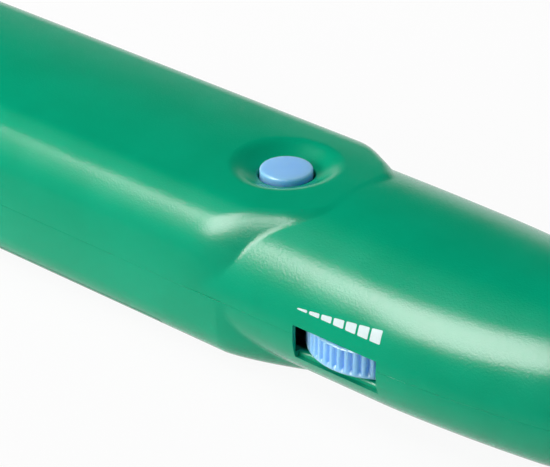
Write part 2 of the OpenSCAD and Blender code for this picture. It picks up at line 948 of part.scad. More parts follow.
module antenna_lead() {
    start_x = front_x - tip_end_r - rod_end_gap - seat_gap - rod_l;
    land_x = board_front - antenna_land;
    crest = board_top + antenna_rise;
    color("firebrick")
        wire([
            [start_x, antenna_lead_y, tip_axis_z],
            [start_x - antenna_run, antenna_lead_y, tip_axis_z],
            [(start_x + land_x) / 2, antenna_lead_y, (tip_axis_z + crest) / 2],
            [board_front, antenna_lead_y, crest],
            [land_x + lead_r, antenna_lead_y, crest - lead_r],
            [land_x, antenna_lead_y, board_top + lead_r],
            [land_x, antenna_lead_y, board_top]
        ]);
}

module battery_case() {
    color(battery_grey)
        block(
            [battery_x, -battery_w / 2, battery_z],
            [battery_x + battery_l, battery_w / 2, battery_z + battery_h]
        );
}

module at_studs(side) {
    translate([battery_x + battery_l, side * stud_pitch / 2, stud_z])
        rotate([0, 90, 0])
            children();
}

module battery_terminals() {
    color(steel_grey) {
        at_studs(-1)
            cylinder(h = stud_h, r = male_r);
        at_studs(1)
            cylinder(h = stud_h, r = female_r);
    }
}

module battery_snap() {
    color(tip_black)
        difference() {
            block(
                [snap_x, -snap_w / 2, stud_z - snap_h / 2],
                [snap_front, snap_w / 2, stud_z + snap_h / 2]
            );
            at_studs(-1)
                cylinder(h = stud_h + seat_gap, r = male_r + running_gap);
            at_studs(1)
                cylinder(h = stud_h + seat_gap, r = female_r + running_gap);
        }
}

module battery_leads() {
    lead_y = wire_notch_w / 4;
    land_x = board_x + post_inset / 2;
    crest = board_top + antenna_rise;
    for (side = [-1, 1])
        color(side > 0 ? "firebrick" : "black")
            wire([
                [snap_front, side * lead_y, stud_z],
                [bay_wall_x, side * lead_y, stud_z],
                [between(bay_wall_x, land_x, rise_share), side * lead_y, (stud_z + crest) / 2],
                [board_x - antenna_run, side * lead_y, crest],
                [land_x - lead_r, side * lead_y, crest - lead_r],
                [land_x, side * lead_y, board_top + lead_r],
                [land_x, side * lead_y, board_top]
            ]);
}

// A screw that points up, with the underside of its head at the origin
module screw(head_r, head_h, shank_r, shank_l) {
    translate([0, 0, -head_h])
        cylinder(h = head_h, r = head_r);
    translate([0, 0, -head_h])
        cylinder(h = head_h + shank_l, r = shank_r);
}

module case_screws() {
    color(steel_grey)
        for (place = case_screws_at)
            translate([place.x, place.y, place.z])
                screw(case_head_r, case_head_h, case_screw_r, case_screw_l);
}

module board_screws() {
    color(steel_grey)
        for (place = board_screws_at)
            translate([place.x, place.y, place.z])
                screw(board_head_r, board_head_h, board_screw_r, board_t + board_pilot_l - seat_gap);
}

top_shell();
bottom_shell();
battery_door();
power_button();
switch_plunger();
switch_body();
sensitivity_wheel();
wheel_screw();
pot_shaft();
potentiometer();
pot_terminals();
circuit_board();
chip_packages();
filter_capacitors();
chip_resistors();
speaker_basket();
speaker_cone();
speaker_magnet();
speaker_leads();
probe_tip();
antenna_rod();
antenna_lead();
battery_case();
battery_terminals();
battery_snap();
battery_leads();
case_screws();
board_screws();
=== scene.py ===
"""Looks of a hand-held cable locator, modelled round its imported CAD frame.

The locator lies on its back. +X runs to the probe tip, the thumbwheel is on the -Y side and +Z
leaves the button face. Sizes are in millimetres and become metres when a mesh is placed.
"""

import logging
import math
from contextlib import contextmanager
from dataclasses import dataclass, field
from enum import Enum
from typing import Any, Callable, Iterator, Sequence

import bpy
import numpy as np
from mathutils import Matrix, Quaternion, Vector


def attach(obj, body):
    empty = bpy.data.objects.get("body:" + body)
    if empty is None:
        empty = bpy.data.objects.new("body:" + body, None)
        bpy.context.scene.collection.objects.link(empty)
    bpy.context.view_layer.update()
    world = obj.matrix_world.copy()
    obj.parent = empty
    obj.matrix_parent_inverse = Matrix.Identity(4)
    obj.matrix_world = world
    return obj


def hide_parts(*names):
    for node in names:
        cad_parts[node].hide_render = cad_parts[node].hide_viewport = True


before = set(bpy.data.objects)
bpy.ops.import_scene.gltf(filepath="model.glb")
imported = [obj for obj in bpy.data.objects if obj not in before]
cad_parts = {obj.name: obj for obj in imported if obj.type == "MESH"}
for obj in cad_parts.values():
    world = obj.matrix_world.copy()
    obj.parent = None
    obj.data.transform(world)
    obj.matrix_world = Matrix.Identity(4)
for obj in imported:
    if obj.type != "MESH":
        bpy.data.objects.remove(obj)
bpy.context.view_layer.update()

LOG = logging.getLogger("cable_locator")
MM = 0.001
TINY = 1e-9

Point = tuple[float, float, float]
Colour = tuple[float, float, float]
Pair = tuple[float, float]
Piece = bpy.types.Object
Material = bpy.types.Material
Socket = bpy.types.NodeSocket
Array = np.ndarray


class Half(Enum):
    """The two halves of the housing, with the sense of their height above the joint."""

    TOP = 1
    BACK = -1


class Body(Enum):
    """The bodies of the frame that pieces ride on."""

    HOUSING = "housing"
    BUTTON = "button"
    WHEEL = "wheel"
    DOOR = "door"


class Axis(Enum):
    """The axes that pieces are spun about."""

    ALONG = (1, 0, 0)
    UPRIGHT = (0, 0, 1)


class Join(Enum):
    """The ways in which one solid changes another."""

    CUT = "DIFFERENCE"
    ADD = "UNION"
    KEEP = "INTERSECT"


# Mesh work


@contextmanager
def editing(piece: Piece) -> Iterator[None]:
    """Opens a piece alone in edit mode with nothing selected."""
    select_only(piece)
    bpy.ops.object.mode_set(mode="EDIT")
    bpy.ops.mesh.select_all(action="DESELECT")
    yield
    bpy.ops.object.mode_set(mode="OBJECT")


def select_only(piece: Piece) -> None:
    """Makes a piece the only selected and active object."""
    bpy.ops.object.select_all(action="DESELECT")
    piece.select_set(True)
    bpy.context.view_layer.objects.active = piece


def new_piece(name: str) -> Piece:
    """Names the primitive that was just added, which is the active object."""
    piece = bpy.context.active_object
    piece.name = name
    piece.data.name = name
    return piece


def copied(piece: Piece, shift: Sequence[float] = (0, 0, 0)) -> Piece:
    """Copies a piece with a mesh of its own, moved by a shift in metres."""
    copy = piece.copy()
    copy.data = piece.data.copy()
    bpy.context.collection.objects.link(copy)
    copy.data.transform(Matrix.Translation(shift))
    return copy


def joined(name: str, pieces: Sequence[Piece]) -> Piece:
    """Joins pieces into one of a new name."""
    select_only(pieces[0])
    for piece in pieces[1:]:
        piece.select_set(True)
    bpy.ops.object.join()
    return new_piece(name)


def place_points(piece: Piece, points: Array) -> None:
    """Moves the vertices of a piece to rows of x, y and z in millimetres."""
    flat = np.ascontiguousarray(points * MM, dtype=np.float32).ravel()
    piece.data.vertices.foreach_set("co", flat)
    piece.data.update()


def weld(piece: Piece, reach: float = 0.002) -> None:
    """Merges vertices within a reach in millimetres and turns all faces outwards."""
    with editing(piece):
        bpy.ops.mesh.select_all(action="SELECT")
        bpy.ops.mesh.remove_doubles(threshold=reach * MM)
        bpy.ops.mesh.normals_make_consistent(inside=False)


def surface(name: str, points: Array) -> Piece:
    """Lays a grid over rows of points, and closes its poles and its seam.

    Args:
        name: the name of the new piece.
        points: rows by columns of points in millimetres.

    Returns:
        The new mesh object.
    """
    rows, columns = points.shape[:2]
    bpy.ops.object.select_all(action="DESELECT")
    bpy.ops.mesh.primitive_grid_add(x_subdivisions=columns - 1, y_subdivisions=rows - 1, size=1)
    piece = new_piece(name)
    flat = np.empty(len(piece.data.vertices) * 3, dtype=np.float32)
    piece.data.vertices.foreach_get("co", flat)
    places = flat.reshape(-1, 3)
    column = np.rint((places[:, 0] + 0.5) * (columns - 1)).astype(int)
    row = np.rint((places[:, 1] + 0.5) * (rows - 1)).astype(int)
    place_points(piece, points[row, column])
    weld(piece)
    return piece


def turned(name: str, profile: Sequence[Pair], centre: Point,
           axis: Axis = Axis.UPRIGHT, steps: int = 128) -> Piece:
    """Spins a profile about an axis into a closed piece.

    Args:
        name: the name of the new piece.
        profile: radius and height of each point in millimetres, from axis to axis.
        centre: a point on the axis, which heights count from.
        axis: the axis.
        steps: the number of faces round the piece.

    Returns:
        The new mesh object.
    """
    bpy.ops.object.select_all(action="DESELECT")
    bpy.ops.mesh.primitive_circle_add(vertices=len(profile), radius=1, fill_type="NOTHING")
    piece = new_piece(name)
    with editing(piece):
        bpy.ops.object.mode_set(mode="OBJECT")
        for edge in piece.data.edges:
            edge.select = set(edge.vertices) == {0, len(profile) - 1}
        bpy.ops.object.mode_set(mode="EDIT")
        bpy.ops.mesh.delete(type="EDGE")
    radius, height = np.array(profile, dtype=float).T
    zero = np.zeros_like(radius)
    chain = (radius, zero, height) if axis is Axis.UPRIGHT else (height, zero, radius)
    place_points(piece, np.stack(chain, axis=-1) + np.array(centre))
    with editing(piece):
        bpy.ops.mesh.select_all(action="SELECT")
        bpy.ops.mesh.spin(steps=steps, angle=2 * math.pi, center=Vector(centre) * MM,
                          axis=axis.value)
    weld(piece)
    return piece


def prism(name: str, outline: Sequence[Point], shift: Point) -> Piece:
    """Extrudes a flat outline into a solid.

    Args:
        name: the name of the new piece.
        outline: the corners of the outline in millimetres.
        shift: how far the outline is extruded, in millimetres.

    Returns:
        The new mesh object.
    """
    bpy.ops.object.select_all(action="DESELECT")
    bpy.ops.mesh.primitive_circle_add(vertices=len(outline), radius=1, fill_type="NGON")
    piece = new_piece(name)
    place_points(piece, np.array(outline, dtype=float))
    with editing(piece):
        bpy.ops.mesh.select_all(action="SELECT")
        bpy.ops.mesh.extrude_region_move(TRANSFORM_OT_translate={"value": Vector(shift) * MM})
        bpy.ops.mesh.select_all(action="SELECT")
        bpy.ops.mesh.normals_make_consistent(inside=False)
    return piece


def block(name: str, low: Point, high: Point) -> Piece:
    """Makes a block between its lowest and its highest corner, in millimetres."""
    corners = [(low[0], low[1], low[2]), (high[0], low[1], low[2]),
               (high[0], high[1], low[2]), (low[0], high[1], low[2])]
    return prism(name, corners, (0, 0, high[2] - low[2]))


def post(name: str, centre: Point, low: float, high: float, radius: float,
         axis: Axis = Axis.UPRIGHT, steps: int = 48) -> Piece:
    """Makes a round post between two heights along its axis, in millimetres."""
    profile = [(0, low), (radius, low), (radius, high), (0, high)]
    return turned(name, profile, centre, axis, steps)


def combine(piece: Piece, tools: Sequence[Piece], way: Join) -> None:
    """Cuts a piece with closed tools, adds them or keeps what they share, and removes them."""
    for tool in tools:
        modifier = piece.modifiers.new("combine", "BOOLEAN")
        modifier.object = tool
        modifier.operation = way.value
        modifier.solver = "MANIFOLD"
        select_only(piece)
        bpy.ops.object.modifier_apply(modifier=modifier.name)
        bpy.data.objects.remove(tool)


def finish_piece(piece: Piece, body: Body, finish: Material,
                 replaces: Sequence[str] = (), angle: float = 30) -> None:
    """Shades a piece, dresses it and lets it ride on its body.

    Args:
        piece: the finished mesh object.
        body: the body that carries it.
        finish: its material.
        replaces: the CAD nodes that it stands for.
        angle: edges sharper than this many degrees stay crisp.
    """
    select_only(piece)
    bpy.ops.object.shade_smooth_by_angle(angle=math.radians(angle))
    piece.data.materials.clear()
    piece.data.materials.append(finish)
    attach(piece, body.value)
    for node in replaces:
        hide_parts(node)
    LOG.info("%s: %d faces on %s", piece.name, len(piece.data.polygons), body.value)


# Form work


def arc(centre: Pair, radius: float, turns: Array) -> list[Pair]:
    """Gives points round a centre, at angles from the first axis towards the second."""
    return [(centre[0] + radius * math.cos(turn), centre[1] + radius * math.sin(turn))
            for turn in turns]


def eased_min(first: Array, second: Array, ease: Array | float) -> Array:
    """Takes the lesser of two values, eased where they meet."""
    near = np.maximum(ease - np.abs(first - second), 0) / ease
    return np.minimum(first, second) - near ** 2 * ease / 4


def eased_max(first: Array, second: Array | float, ease: Array | float) -> Array:
    """Takes the greater of two values, eased where they meet."""
    return -eased_min(-first, -second, ease)


def rounding(radius: Array | float, shy: Array) -> Array:
    """Gives how far a rounded edge draws in, at places that far short of where it starts."""
    return radius - np.sqrt(np.maximum(radius ** 2 - shy ** 2, 0))


def halved(low: Array, high: Array, holds: Callable[[Array], Array], steps: int = 34) -> Array:
    """Finds by halving how far a test holds.

    Args:
        low: values at which it holds.
        high: values at which it no longer does.
        holds: the test.
        steps: the number of halvings.

    Returns:
        The greatest values found at which it holds.
    """
    for _ in range(steps):
        middle = (low + high) / 2
        held = holds(middle)
        low = np.where(held, middle, low)
        high = np.where(held, high, middle)
    return low


# Shader work


class Value:
    """A number in a shader, on which sums are written as Python expressions."""

    def __init__(self, shader: "Shader", socket: Socket) -> None:
        """Wraps an output socket of a shader's node."""
        self.shader = shader
        self.socket = socket

    def _math(self, operation: str, first: Any, second: Any) -> "Value":
        """Adds one Math node and returns its result."""
        return self.shader.value("ShaderNodeMath", {"operation": operation}, {0: first, 1: second})

    def __add__(self, other: Any) -> "Value":
        """Adds a value or a number."""
        return self._math("ADD", self, other)

    __radd__ = __add__

    def __sub__(self, other: Any) -> "Value":
        """Takes a value or a number away."""
        return self._math("SUBTRACT", self, other)

    def __rsub__(self, other: Any) -> "Value":
        """Is taken away from a number."""
        return self._math("SUBTRACT", other, self)

    def __mul__(self, other: Any) -> "Value":
        """Multiplies by a value or a number."""
        return self._math("MULTIPLY", self, other)

    __rmul__ = __mul__

    def ramp(self, low: float, high: float) -> "Value":
        """Maps the span from low to high onto 0 to 1, smoothly and clamped."""
        return self.shader.value(
            "ShaderNodeMapRange", {"interpolation_type": "SMOOTHSTEP"},
            {"Value": self, "From Min": low, "From Max": high},
        )


class Shader:
    """The node tree of a material, or of a world that is handed in."""

    def __init__(self, name: str, world: bpy.types.World | None = None) -> None:
        """Starts an empty tree of that name."""
        self.material = world or bpy.data.materials.new(name)
        self.material.use_nodes = True
        self.tree = self.material.node_tree
        self.tree.nodes.clear()

    def node(self, kind: str, settings: dict[str, Any] | None = None,
             inputs: dict[Any, Any] | None = None) -> bpy.types.Node:
        """Adds one node.

        Args:
            kind: the node's type.
            settings: its properties, which are set first.
            inputs: values, Values or sockets for its inputs, by name or number.

        Returns:
            The new node.
        """
        node = self.tree.nodes.new(kind)
        for key, setting in (settings or {}).items():
            setattr(node, key, setting)
        for key, given in (inputs or {}).items():
            socket = node.inputs[key]
            if isinstance(given, Value):
                given = given.socket
            if isinstance(given, Socket):
                self.tree.links.new(given, socket)
            else:
                socket.default_value = given
        return node

    def value(self, kind: str, settings: dict[str, Any] | None = None,
              inputs: dict[Any, Any] | None = None) -> Value:
        """Adds one node and wraps its first output."""
        return Value(self, self.node(kind, settings, inputs).outputs[0])

    def place(self, kind: str = "Object") -> Socket:
        """Gives a texture coordinate: the piece's own, in metres, unless another is named."""
        return self.node("ShaderNodeTexCoord").outputs[kind]

    def along(self, place: Socket, axis: str) -> Value:
        """Gives one axis of a coordinate."""
        return Value(self, self.node("ShaderNodeSeparateXYZ", None, {0: place}).outputs[axis])

    def ray(self, kind: str) -> Value:
        """Gives 1 on one kind of ray, else 0."""
        return Value(self, self.node("ShaderNodeLightPath").outputs[f"Is {kind} Ray"])

    def noise(self, grain: float, detail: float = 2, stretch: Point = (1, 1, 1)) -> Value:
        """Adds a cloudy pattern.

        Args:
            grain: the size of its blotches in millimetres.
            detail: the number of finer layers.
            stretch: how many times finer it is along each axis.

        Returns:
            A value about 0.5.
        """
        mapping = self.node("ShaderNodeMapping", None, {"Vector": self.place(), "Scale": stretch})
        return self.value("ShaderNodeTexNoise", None, {
            "Vector": mapping.outputs[0], "Scale": 1 / (grain * MM),
            "Detail": detail, "Roughness": 0.55,
        })

    def mix(self, share: Value, first: Any, second: Any) -> Socket:
        """Mixes two colours by a share."""
        node = self.node("ShaderNodeMix", {"data_type": "RGBA"}, {0: share, 6: first, 7: second})
        return node.outputs[2]

    def bump(self, height: Value, distance: float, strength: float) -> Socket:
        """Turns a height into a normal.

        Args:
            height: the height, about 0 to 1.
            distance: what a height of 1 stands for, in millimetres.
            strength: the share of it that shows.

        Returns:
            The normal socket.
        """
        return self.node("ShaderNodeBump", None, {
            "Height": height, "Distance": distance * MM, "Strength": strength,
        }).outputs[0]

    def surface(self, inputs: dict[str, Any]) -> Material:
        """Adds the Principled surface and closes the tree."""
        shell = self.node("ShaderNodeBsdfPrincipled", None, inputs)
        self.node("ShaderNodeOutputMaterial", None, {"Surface": shell.outputs[0]})
        return self.material


def rgba(colour: Colour) -> tuple[float, float, float, float]:
    """Turns a screen colour of 0 to 255 into a linear colour with full cover."""
    linear = [((c / 255 + 0.055) / 1.055) ** 2.4 if c > 10.3 else c / 255 / 12.92 for c in colour]
    return (*linear, 1.0)


def grey(level: float) -> tuple[float, float, float, float]:
    """Gives a linear grey with full cover."""
    return (level, level, level, 1)


@dataclass(frozen=True)
class MouldedPlastic:
    """Coloured plastic from a finely etched mould."""

    name: str
    colour: Colour
    shade: Colour
    roughness: float
    grain: float
    grain_depth: float
    specular: float = 0.4
    sheen: Colour = (255, 255, 255)
    glow_depth: float = 0.0
    cloud_size: float = 14
    handled_size: float = 38
    fine_share: float = 0.45

    def material(self) -> Material:
        """Builds the material: etched grain, clouded colour, and polish where hands rub."""
        shader = Shader(self.name)
        cloud = shader.noise(self.cloud_size, 3)
        handled = shader.noise(self.handled_size, 2).ramp(0.42, 0.68)
        etch = shader.noise(self.grain, 1)
        fine = shader.noise(self.grain * self.fine_share, 1)
        mottle = (cloud - 0.5) * 0.08 + (etch - 0.5) * 0.1
        return shader.surface({
            "Base Color": shader.mix(cloud.ramp(0.3, 0.72), rgba(self.shade), rgba(self.colour)),
            "Roughness": self.roughness + mottle - handled * 0.03,
            "Specular IOR Level": self.specular,
            "Specular Tint": rgba(self.sheen),
            "Subsurface Weight": 1.0 if self.glow_depth else 0.0,
            "Subsurface Radius": (1, 1, 1),
            "Subsurface Scale": self.glow_depth * MM,
            "Normal": shader.bump(etch * 0.7 + fine * 0.3, self.grain_depth, 1),
        })


@dataclass(frozen=True)
class PrintedInk:
    """Pad-printed ink, with pinholes and a soft sheen."""

    name: str
    colour: Colour
    thin_share: float = 0.985

    def material(self) -> Material:
        """Builds the material: slightly uneven cover over the plastic's grain."""
        shader = Shader(self.name)
        cover = shader.noise(0.5, 2)
        thin = [c * self.thin_share for c in self.colour]
        return shader.surface({
            "Base Color": shader.mix(cover.ramp(0.35, 0.6), rgba(thin), rgba(self.colour)),
            "Roughness": 0.45 + (cover - 0.5) * 0.2,
            "Specular IOR Level": 0.3,
            "Normal": shader.bump(shader.noise(0.18, 1), 0.01, 0.6),
        })


@dataclass(frozen=True)
class Metal:
    """Bare or plated metal with drawn or turned marks."""

    name: str
    colour: Colour
    roughness: float
    stretch: Point = (1, 1, 1)
    grime_share: float = 0.7

    def material(self) -> Material:
        """Builds the material: fine lines, dull patches and a little grime."""
        shader = Shader(self.name)
        lines = shader.noise(0.3, 3, self.stretch)
        patches = shader.noise(4, 3)
        grime = [c * self.grime_share for c in self.colour]
        return shader.surface({
            "Base Color": shader.mix(patches.ramp(0.35, 0.55), rgba(grime), rgba(self.colour)),
            "Metallic": 1.0,
            "Roughness": self.roughness + (lines - 0.5) * 0.25 + (patches - 0.5) * 0.1,
            "Normal": shader.bump(lines, 0.01, 0.5),
        })


@dataclass(frozen=True)
class SmoothCoat:
    """Lacquer, film or sleeve over an inner piece."""

    name: str
    colour: Colour
    shade: Colour
    roughness: float
    grain: float = 1.5

    def material(self) -> Material:
        """Builds the material: mottled colour and an uneven gloss."""
        shader = Shader(self.name)
        mottle = shader.noise(self.grain, 3)
        return shader.surface({
            "Base Color": shader.mix(mottle.ramp(0.35, 0.65), rgba(self.shade), rgba(self.colour)),
            "Roughness": self.roughness + (mottle - 0.5) * 0.2,
            "Normal": shader.bump(mottle, 0.02, 0.4),
        })


class Finishes:
    """All the finishes of the locator, built once."""

    def __init__(self) -> None:
        """Builds every material."""
        self.green = MouldedPlastic(
            "housing_plastic", (0, 157, 117), (0, 152, 112), roughness=0.22,
            grain=0.4, grain_depth=0.045, specular=0.28, sheen=(255, 224, 234),
        ).material()
        self.blue = MouldedPlastic(
            "control_plastic", (146, 198, 254), (140, 192, 251), roughness=0.22,
            grain=0.2, grain_depth=0.005, glow_depth=2.4,
        ).material()
        self.black = MouldedPlastic(
            "tip_plastic", (26, 26, 27), (20, 20, 21), roughness=0.45, grain=0.3, grain_depth=0.02,
        ).material()
        self.ink = PrintedInk("scale_ink", (211, 226, 227)).material()
        self.steel = Metal("plated_steel", (205, 205, 208), 0.32).material()
        self.brass = Metal("drawn_brass", (214, 176, 96), 0.3, (0.05, 1, 1)).material()
        self.aluminium = Metal("turned_aluminium", (210, 210, 213), 0.35, (1, 1, 0.1)).material()
        self.ferrite = SmoothCoat("magnet_ferrite", (62, 62, 66), (48, 48, 51), 0.6).material()
        self.board = SmoothCoat("board_lacquer", (18, 92, 48), (12, 74, 38), 0.35).material()
        self.chip = SmoothCoat("chip_resin", (30, 30, 32), (22, 22, 24), 0.5, 0.6).material()
        self.sleeve = SmoothCoat("can_sleeve", (34, 46, 96), (24, 34, 78), 0.3).material()
        self.film = SmoothCoat("cone_film", (60, 60, 60), (46, 46, 47), 0.55).material()
        self.wire = SmoothCoat("wire_jacket", (170, 40, 34), (146, 30, 26), 0.45).material()
        self.battery = SmoothCoat("battery_can", (58, 60, 64), (46, 48, 52), 0.35, 3).material()
        self.ivory = SmoothCoat(
            "plunger_ivory", (226, 220, 200), (212, 204, 182), 0.45,
        ).material()
        self.switch = SmoothCoat("switch_grey", (74, 75, 80), (60, 61, 65), 0.5).material()


# The housing


@dataclass(frozen=True)
class HousingForm:
    """The housing's surface, as distances in millimetres from the joint's centre line."""

    rear_x: float = -109.0
    shoulder_x: float = 0.61
    taper_x: float = 35.71
    closing_x: float = 66.99
    nose_x: float = 89.01
    half_w: float = 23.0
    edge_z: float = 28.4
    crown: float = 2.2
    joint_z: float = 13.1
    top_edge_r: float = 8.1
    back_edge_r: float = 6.7
    rear_corner_r: float = 12.0
    # The scooped facets of the shoulder, and how softly they meet the grip
    slant: float = 27.5
    slant_depth: float = 21.9
    slant_r: float = 27.4
    slant_foot: float = -0.5
    slant_tip: float = 20.3
    top_ease: float = 0.8
    side_ease: float = 0.3
    tip_ease: float = 0.3
    tip_ease_x: float = 9.0
    tip_round: float = 2.0
    back_shoulder: float = 39.0
    shoulder_power: float = 1.35
    # The neck and the crease where it leaves the grip
    neck_x: float = -15.0
    neck_half_w: float = 22.8
    neck_top: float = 30.0
    neck_rise: float = 0.6
    rise_x: Pair = (14.0, 56.0)
    nose_r: float = 9.0
    top_power: float = 2.36
    back_power: float = 2.51
    taper_power: float = 1.54
    taper_root: float = 1.945
    crease_fillet: float = 0.25
    crease_run: float = 3.0
    crease_least: float = 0.001
    # The rings of the skin
    end_skin: float = 0.02
    end_rings: int = 26
    grip_middle_x: float = -12.0
    grip_rings: tuple[int, int] = (18, 20)
    crease_stop: float = 2.0
    back_crease_share: float = 0.86
    shoulder_rings: int = 10
    neck_rings: int = 16

    @property
    def height(self) -> float:
        """Gives the height of the grip along its middle."""
        return self.edge_z + self.crown

    def top_height(self, y: Array) -> Array:
        """Gives the height of the grip's crowned top at a place across it."""
        return self.edge_z + self.crown * (1 - (y / self.half_w) ** 2)

    def plan_depth(self, x: Array, y: Array, inset: float, half: Half) -> Array:
        """Measures how far points lie inside the grip's outline, seen from above.

        Args:
            x: places along the housing.
            y: places across it.
            inset: how far the outline is drawn in.
            half: the half of the housing.

        Returns:
            The depth of each point.
        """
        half_w = self.half_w - inset
        corner = self.rear_corner_r - inset
        behind = np.maximum(self.rear_x + inset + corner - x, 0)
        beside = np.maximum(np.abs(y) - half_w + corner, 0)
        grip = np.where(behind > 0, corner - np.hypot(behind, beside), half_w - np.abs(y))
        if half is Half.TOP:
            return eased_min(grip, self.slant_tip - inset - x, self.tip_round)
        power = self.shoulder_power
        span = self.back_shoulder - inset
        u = np.maximum(x - self.shoulder_x, 0) / span
        v = np.abs(y) / half_w
        rho = np.maximum((u ** power + v ** power) ** (1 / power), TINY)
        slope = np.hypot(u ** (power - 1) / span, v ** (power - 1) / half_w) * rho ** (1 - power)
        return np.where(x > self.shoulder_x, (1 - rho) / np.maximum(slope, TINY), grip)

    def facet_depth(self, x: Array, y: Array, z: Array, inset: float) -> Array:
        """Measures how far points, with heights above the joint, lie behind the scooped facets."""
        slant = math.radians(self.slant)
        behind = self.slant_depth - math.sin(slant) * x - math.cos(slant) * np.abs(y)
        outward = np.maximum(self.slant_r - behind, 0)
        return self.slant_r - inset - np.hypot(outward, np.maximum(z - self.slant_foot, 0))

    def grip_radius(self, x: Array, angle: Array, inset: float, half: Half) -> Array:
        """Finds the grip's surface along rays from the centre line.

        Args:
            x: places along the housing.
            angle: directions round the centre line, in radians.
            inset: how far the surface is drawn in.
            half: the half of the housing.

        Returns:
            The distance to the surface on each ray.
        """
        top = half is Half.TOP
        edge = (self.top_edge_r if top else self.back_edge_r) - inset

        def inside(reach: Array) -> Array:
            """Tells which points lie in the grip, at distances along the rays."""
            across = reach * np.cos(angle)
            upward = reach * np.sin(angle)
            tall = (self.top_height(across) - self.joint_z if top else self.joint_z) - inset
            shy = np.maximum(edge - self.plan_depth(x, across, inset, half), 0)
            depth = edge - np.hypot(shy, np.maximum(upward - tall + edge, 0))
            if top:
                ease = self.top_ease + self.side_ease * np.maximum(tall - upward, 0)
                ease = ease + self.tip_ease * np.maximum(x - self.tip_ease_x, 0)
                depth = eased_min(depth, self.facet_depth(x, across, upward, inset), ease)
            return depth > 0

        low = np.zeros_like(x * angle)
        return halved(low, np.full_like(low, 2 * self.half_w), inside)

    def neck_radius(self, x: Array, angle: Array, inset: float, half: Half) -> Array:
        """Gives the neck's surface along rays from the centre line, as grip_radius does."""
        t = np.clip((x - self.taper_x) / (self.nose_x - self.taper_x), 0, 1)
        u = np.clip((x - self.closing_x) / (self.nose_x - self.closing_x), 0, 1)
        narrow = (1 - t ** self.taper_power) ** (1 / self.taper_root)
        half_w = self.nose_r + (self.neck_half_w - self.nose_r) * narrow - inset
        fall = np.clip((x - self.rise_x[0]) / (self.rise_x[1] - self.rise_x[0]), 0, 1)
        top = self.neck_top + self.neck_rise * (1 - fall * fall * (3 - 2 * fall))
        tall = top - self.joint_z if half is Half.TOP else self.joint_z
        half_h = self.nose_r + (tall - self.nose_r) * np.sqrt(1 - u * u) - inset
        start = self.top_power if half is Half.TOP else self.back_power
        power = start + (2 - start) * u
        across = np.abs(np.cos(angle)) / half_w
        upward = np.abs(np.sin(angle)) / half_h
        return (across ** power + upward ** power) ** (-1 / power)

    def radius(self, x: Array, angle: Array, inset: float, half: Half) -> Array:
        """Joins grip and neck with a small fillet along their crease, as grip_radius does."""
        held_x = np.clip(x, self.rear_x + inset + self.end_skin, self.nose_x - inset)
        grip = self.grip_radius(held_x, angle, inset, half)
        neck = np.where(held_x > self.neck_x, self.neck_radius(held_x, angle, inset, half), 0)
        start = (held_x - self.shoulder_x) / self.crease_run + 1
        return eased_max(grip, neck, self.crease_fillet * np.clip(start, self.crease_least, 1))

    def stations(self, half: Half, fine: float) -> Array:
        """Gives places along the housing, close together at its roundings and its crease.

        Args:
            half: the half of the housing.
            fine: the spacing along the crease.

        Returns:
            The places in rising order.
        """
        quarter = np.linspace(0, np.pi / 2, self.end_rings)
        rear = self.rear_x + self.rear_corner_r * (1 - np.cos(quarter))
        coarse, close = self.grip_rings
        grip = [np.linspace(rear[-1], self.grip_middle_x, coarse)[1:],
                np.linspace(self.grip_middle_x, self.shoulder_x, close)[1:]]
        if half is Half.TOP:
            shoulder_end = self.slant_tip
            crease_end = shoulder_end - self.crease_stop
        else:
            shoulder_end = self.shoulder_x + self.back_shoulder
            crease_end = self.shoulder_x + self.back_crease_share * self.back_shoulder
        crease = np.arange(self.shoulder_x + fine, crease_end, fine)
        shoulder = np.linspace(crease_end, shoulder_end, self.shoulder_rings)
        neck = np.linspace(shoulder_end, self.closing_x, self.neck_rings)[1:]
        closing = self.closing_x + (self.nose_x - self.closing_x) * np.sin(quarter)[1:]
        return np.concatenate([rear, *grip, crease, shoulder, neck, closing])


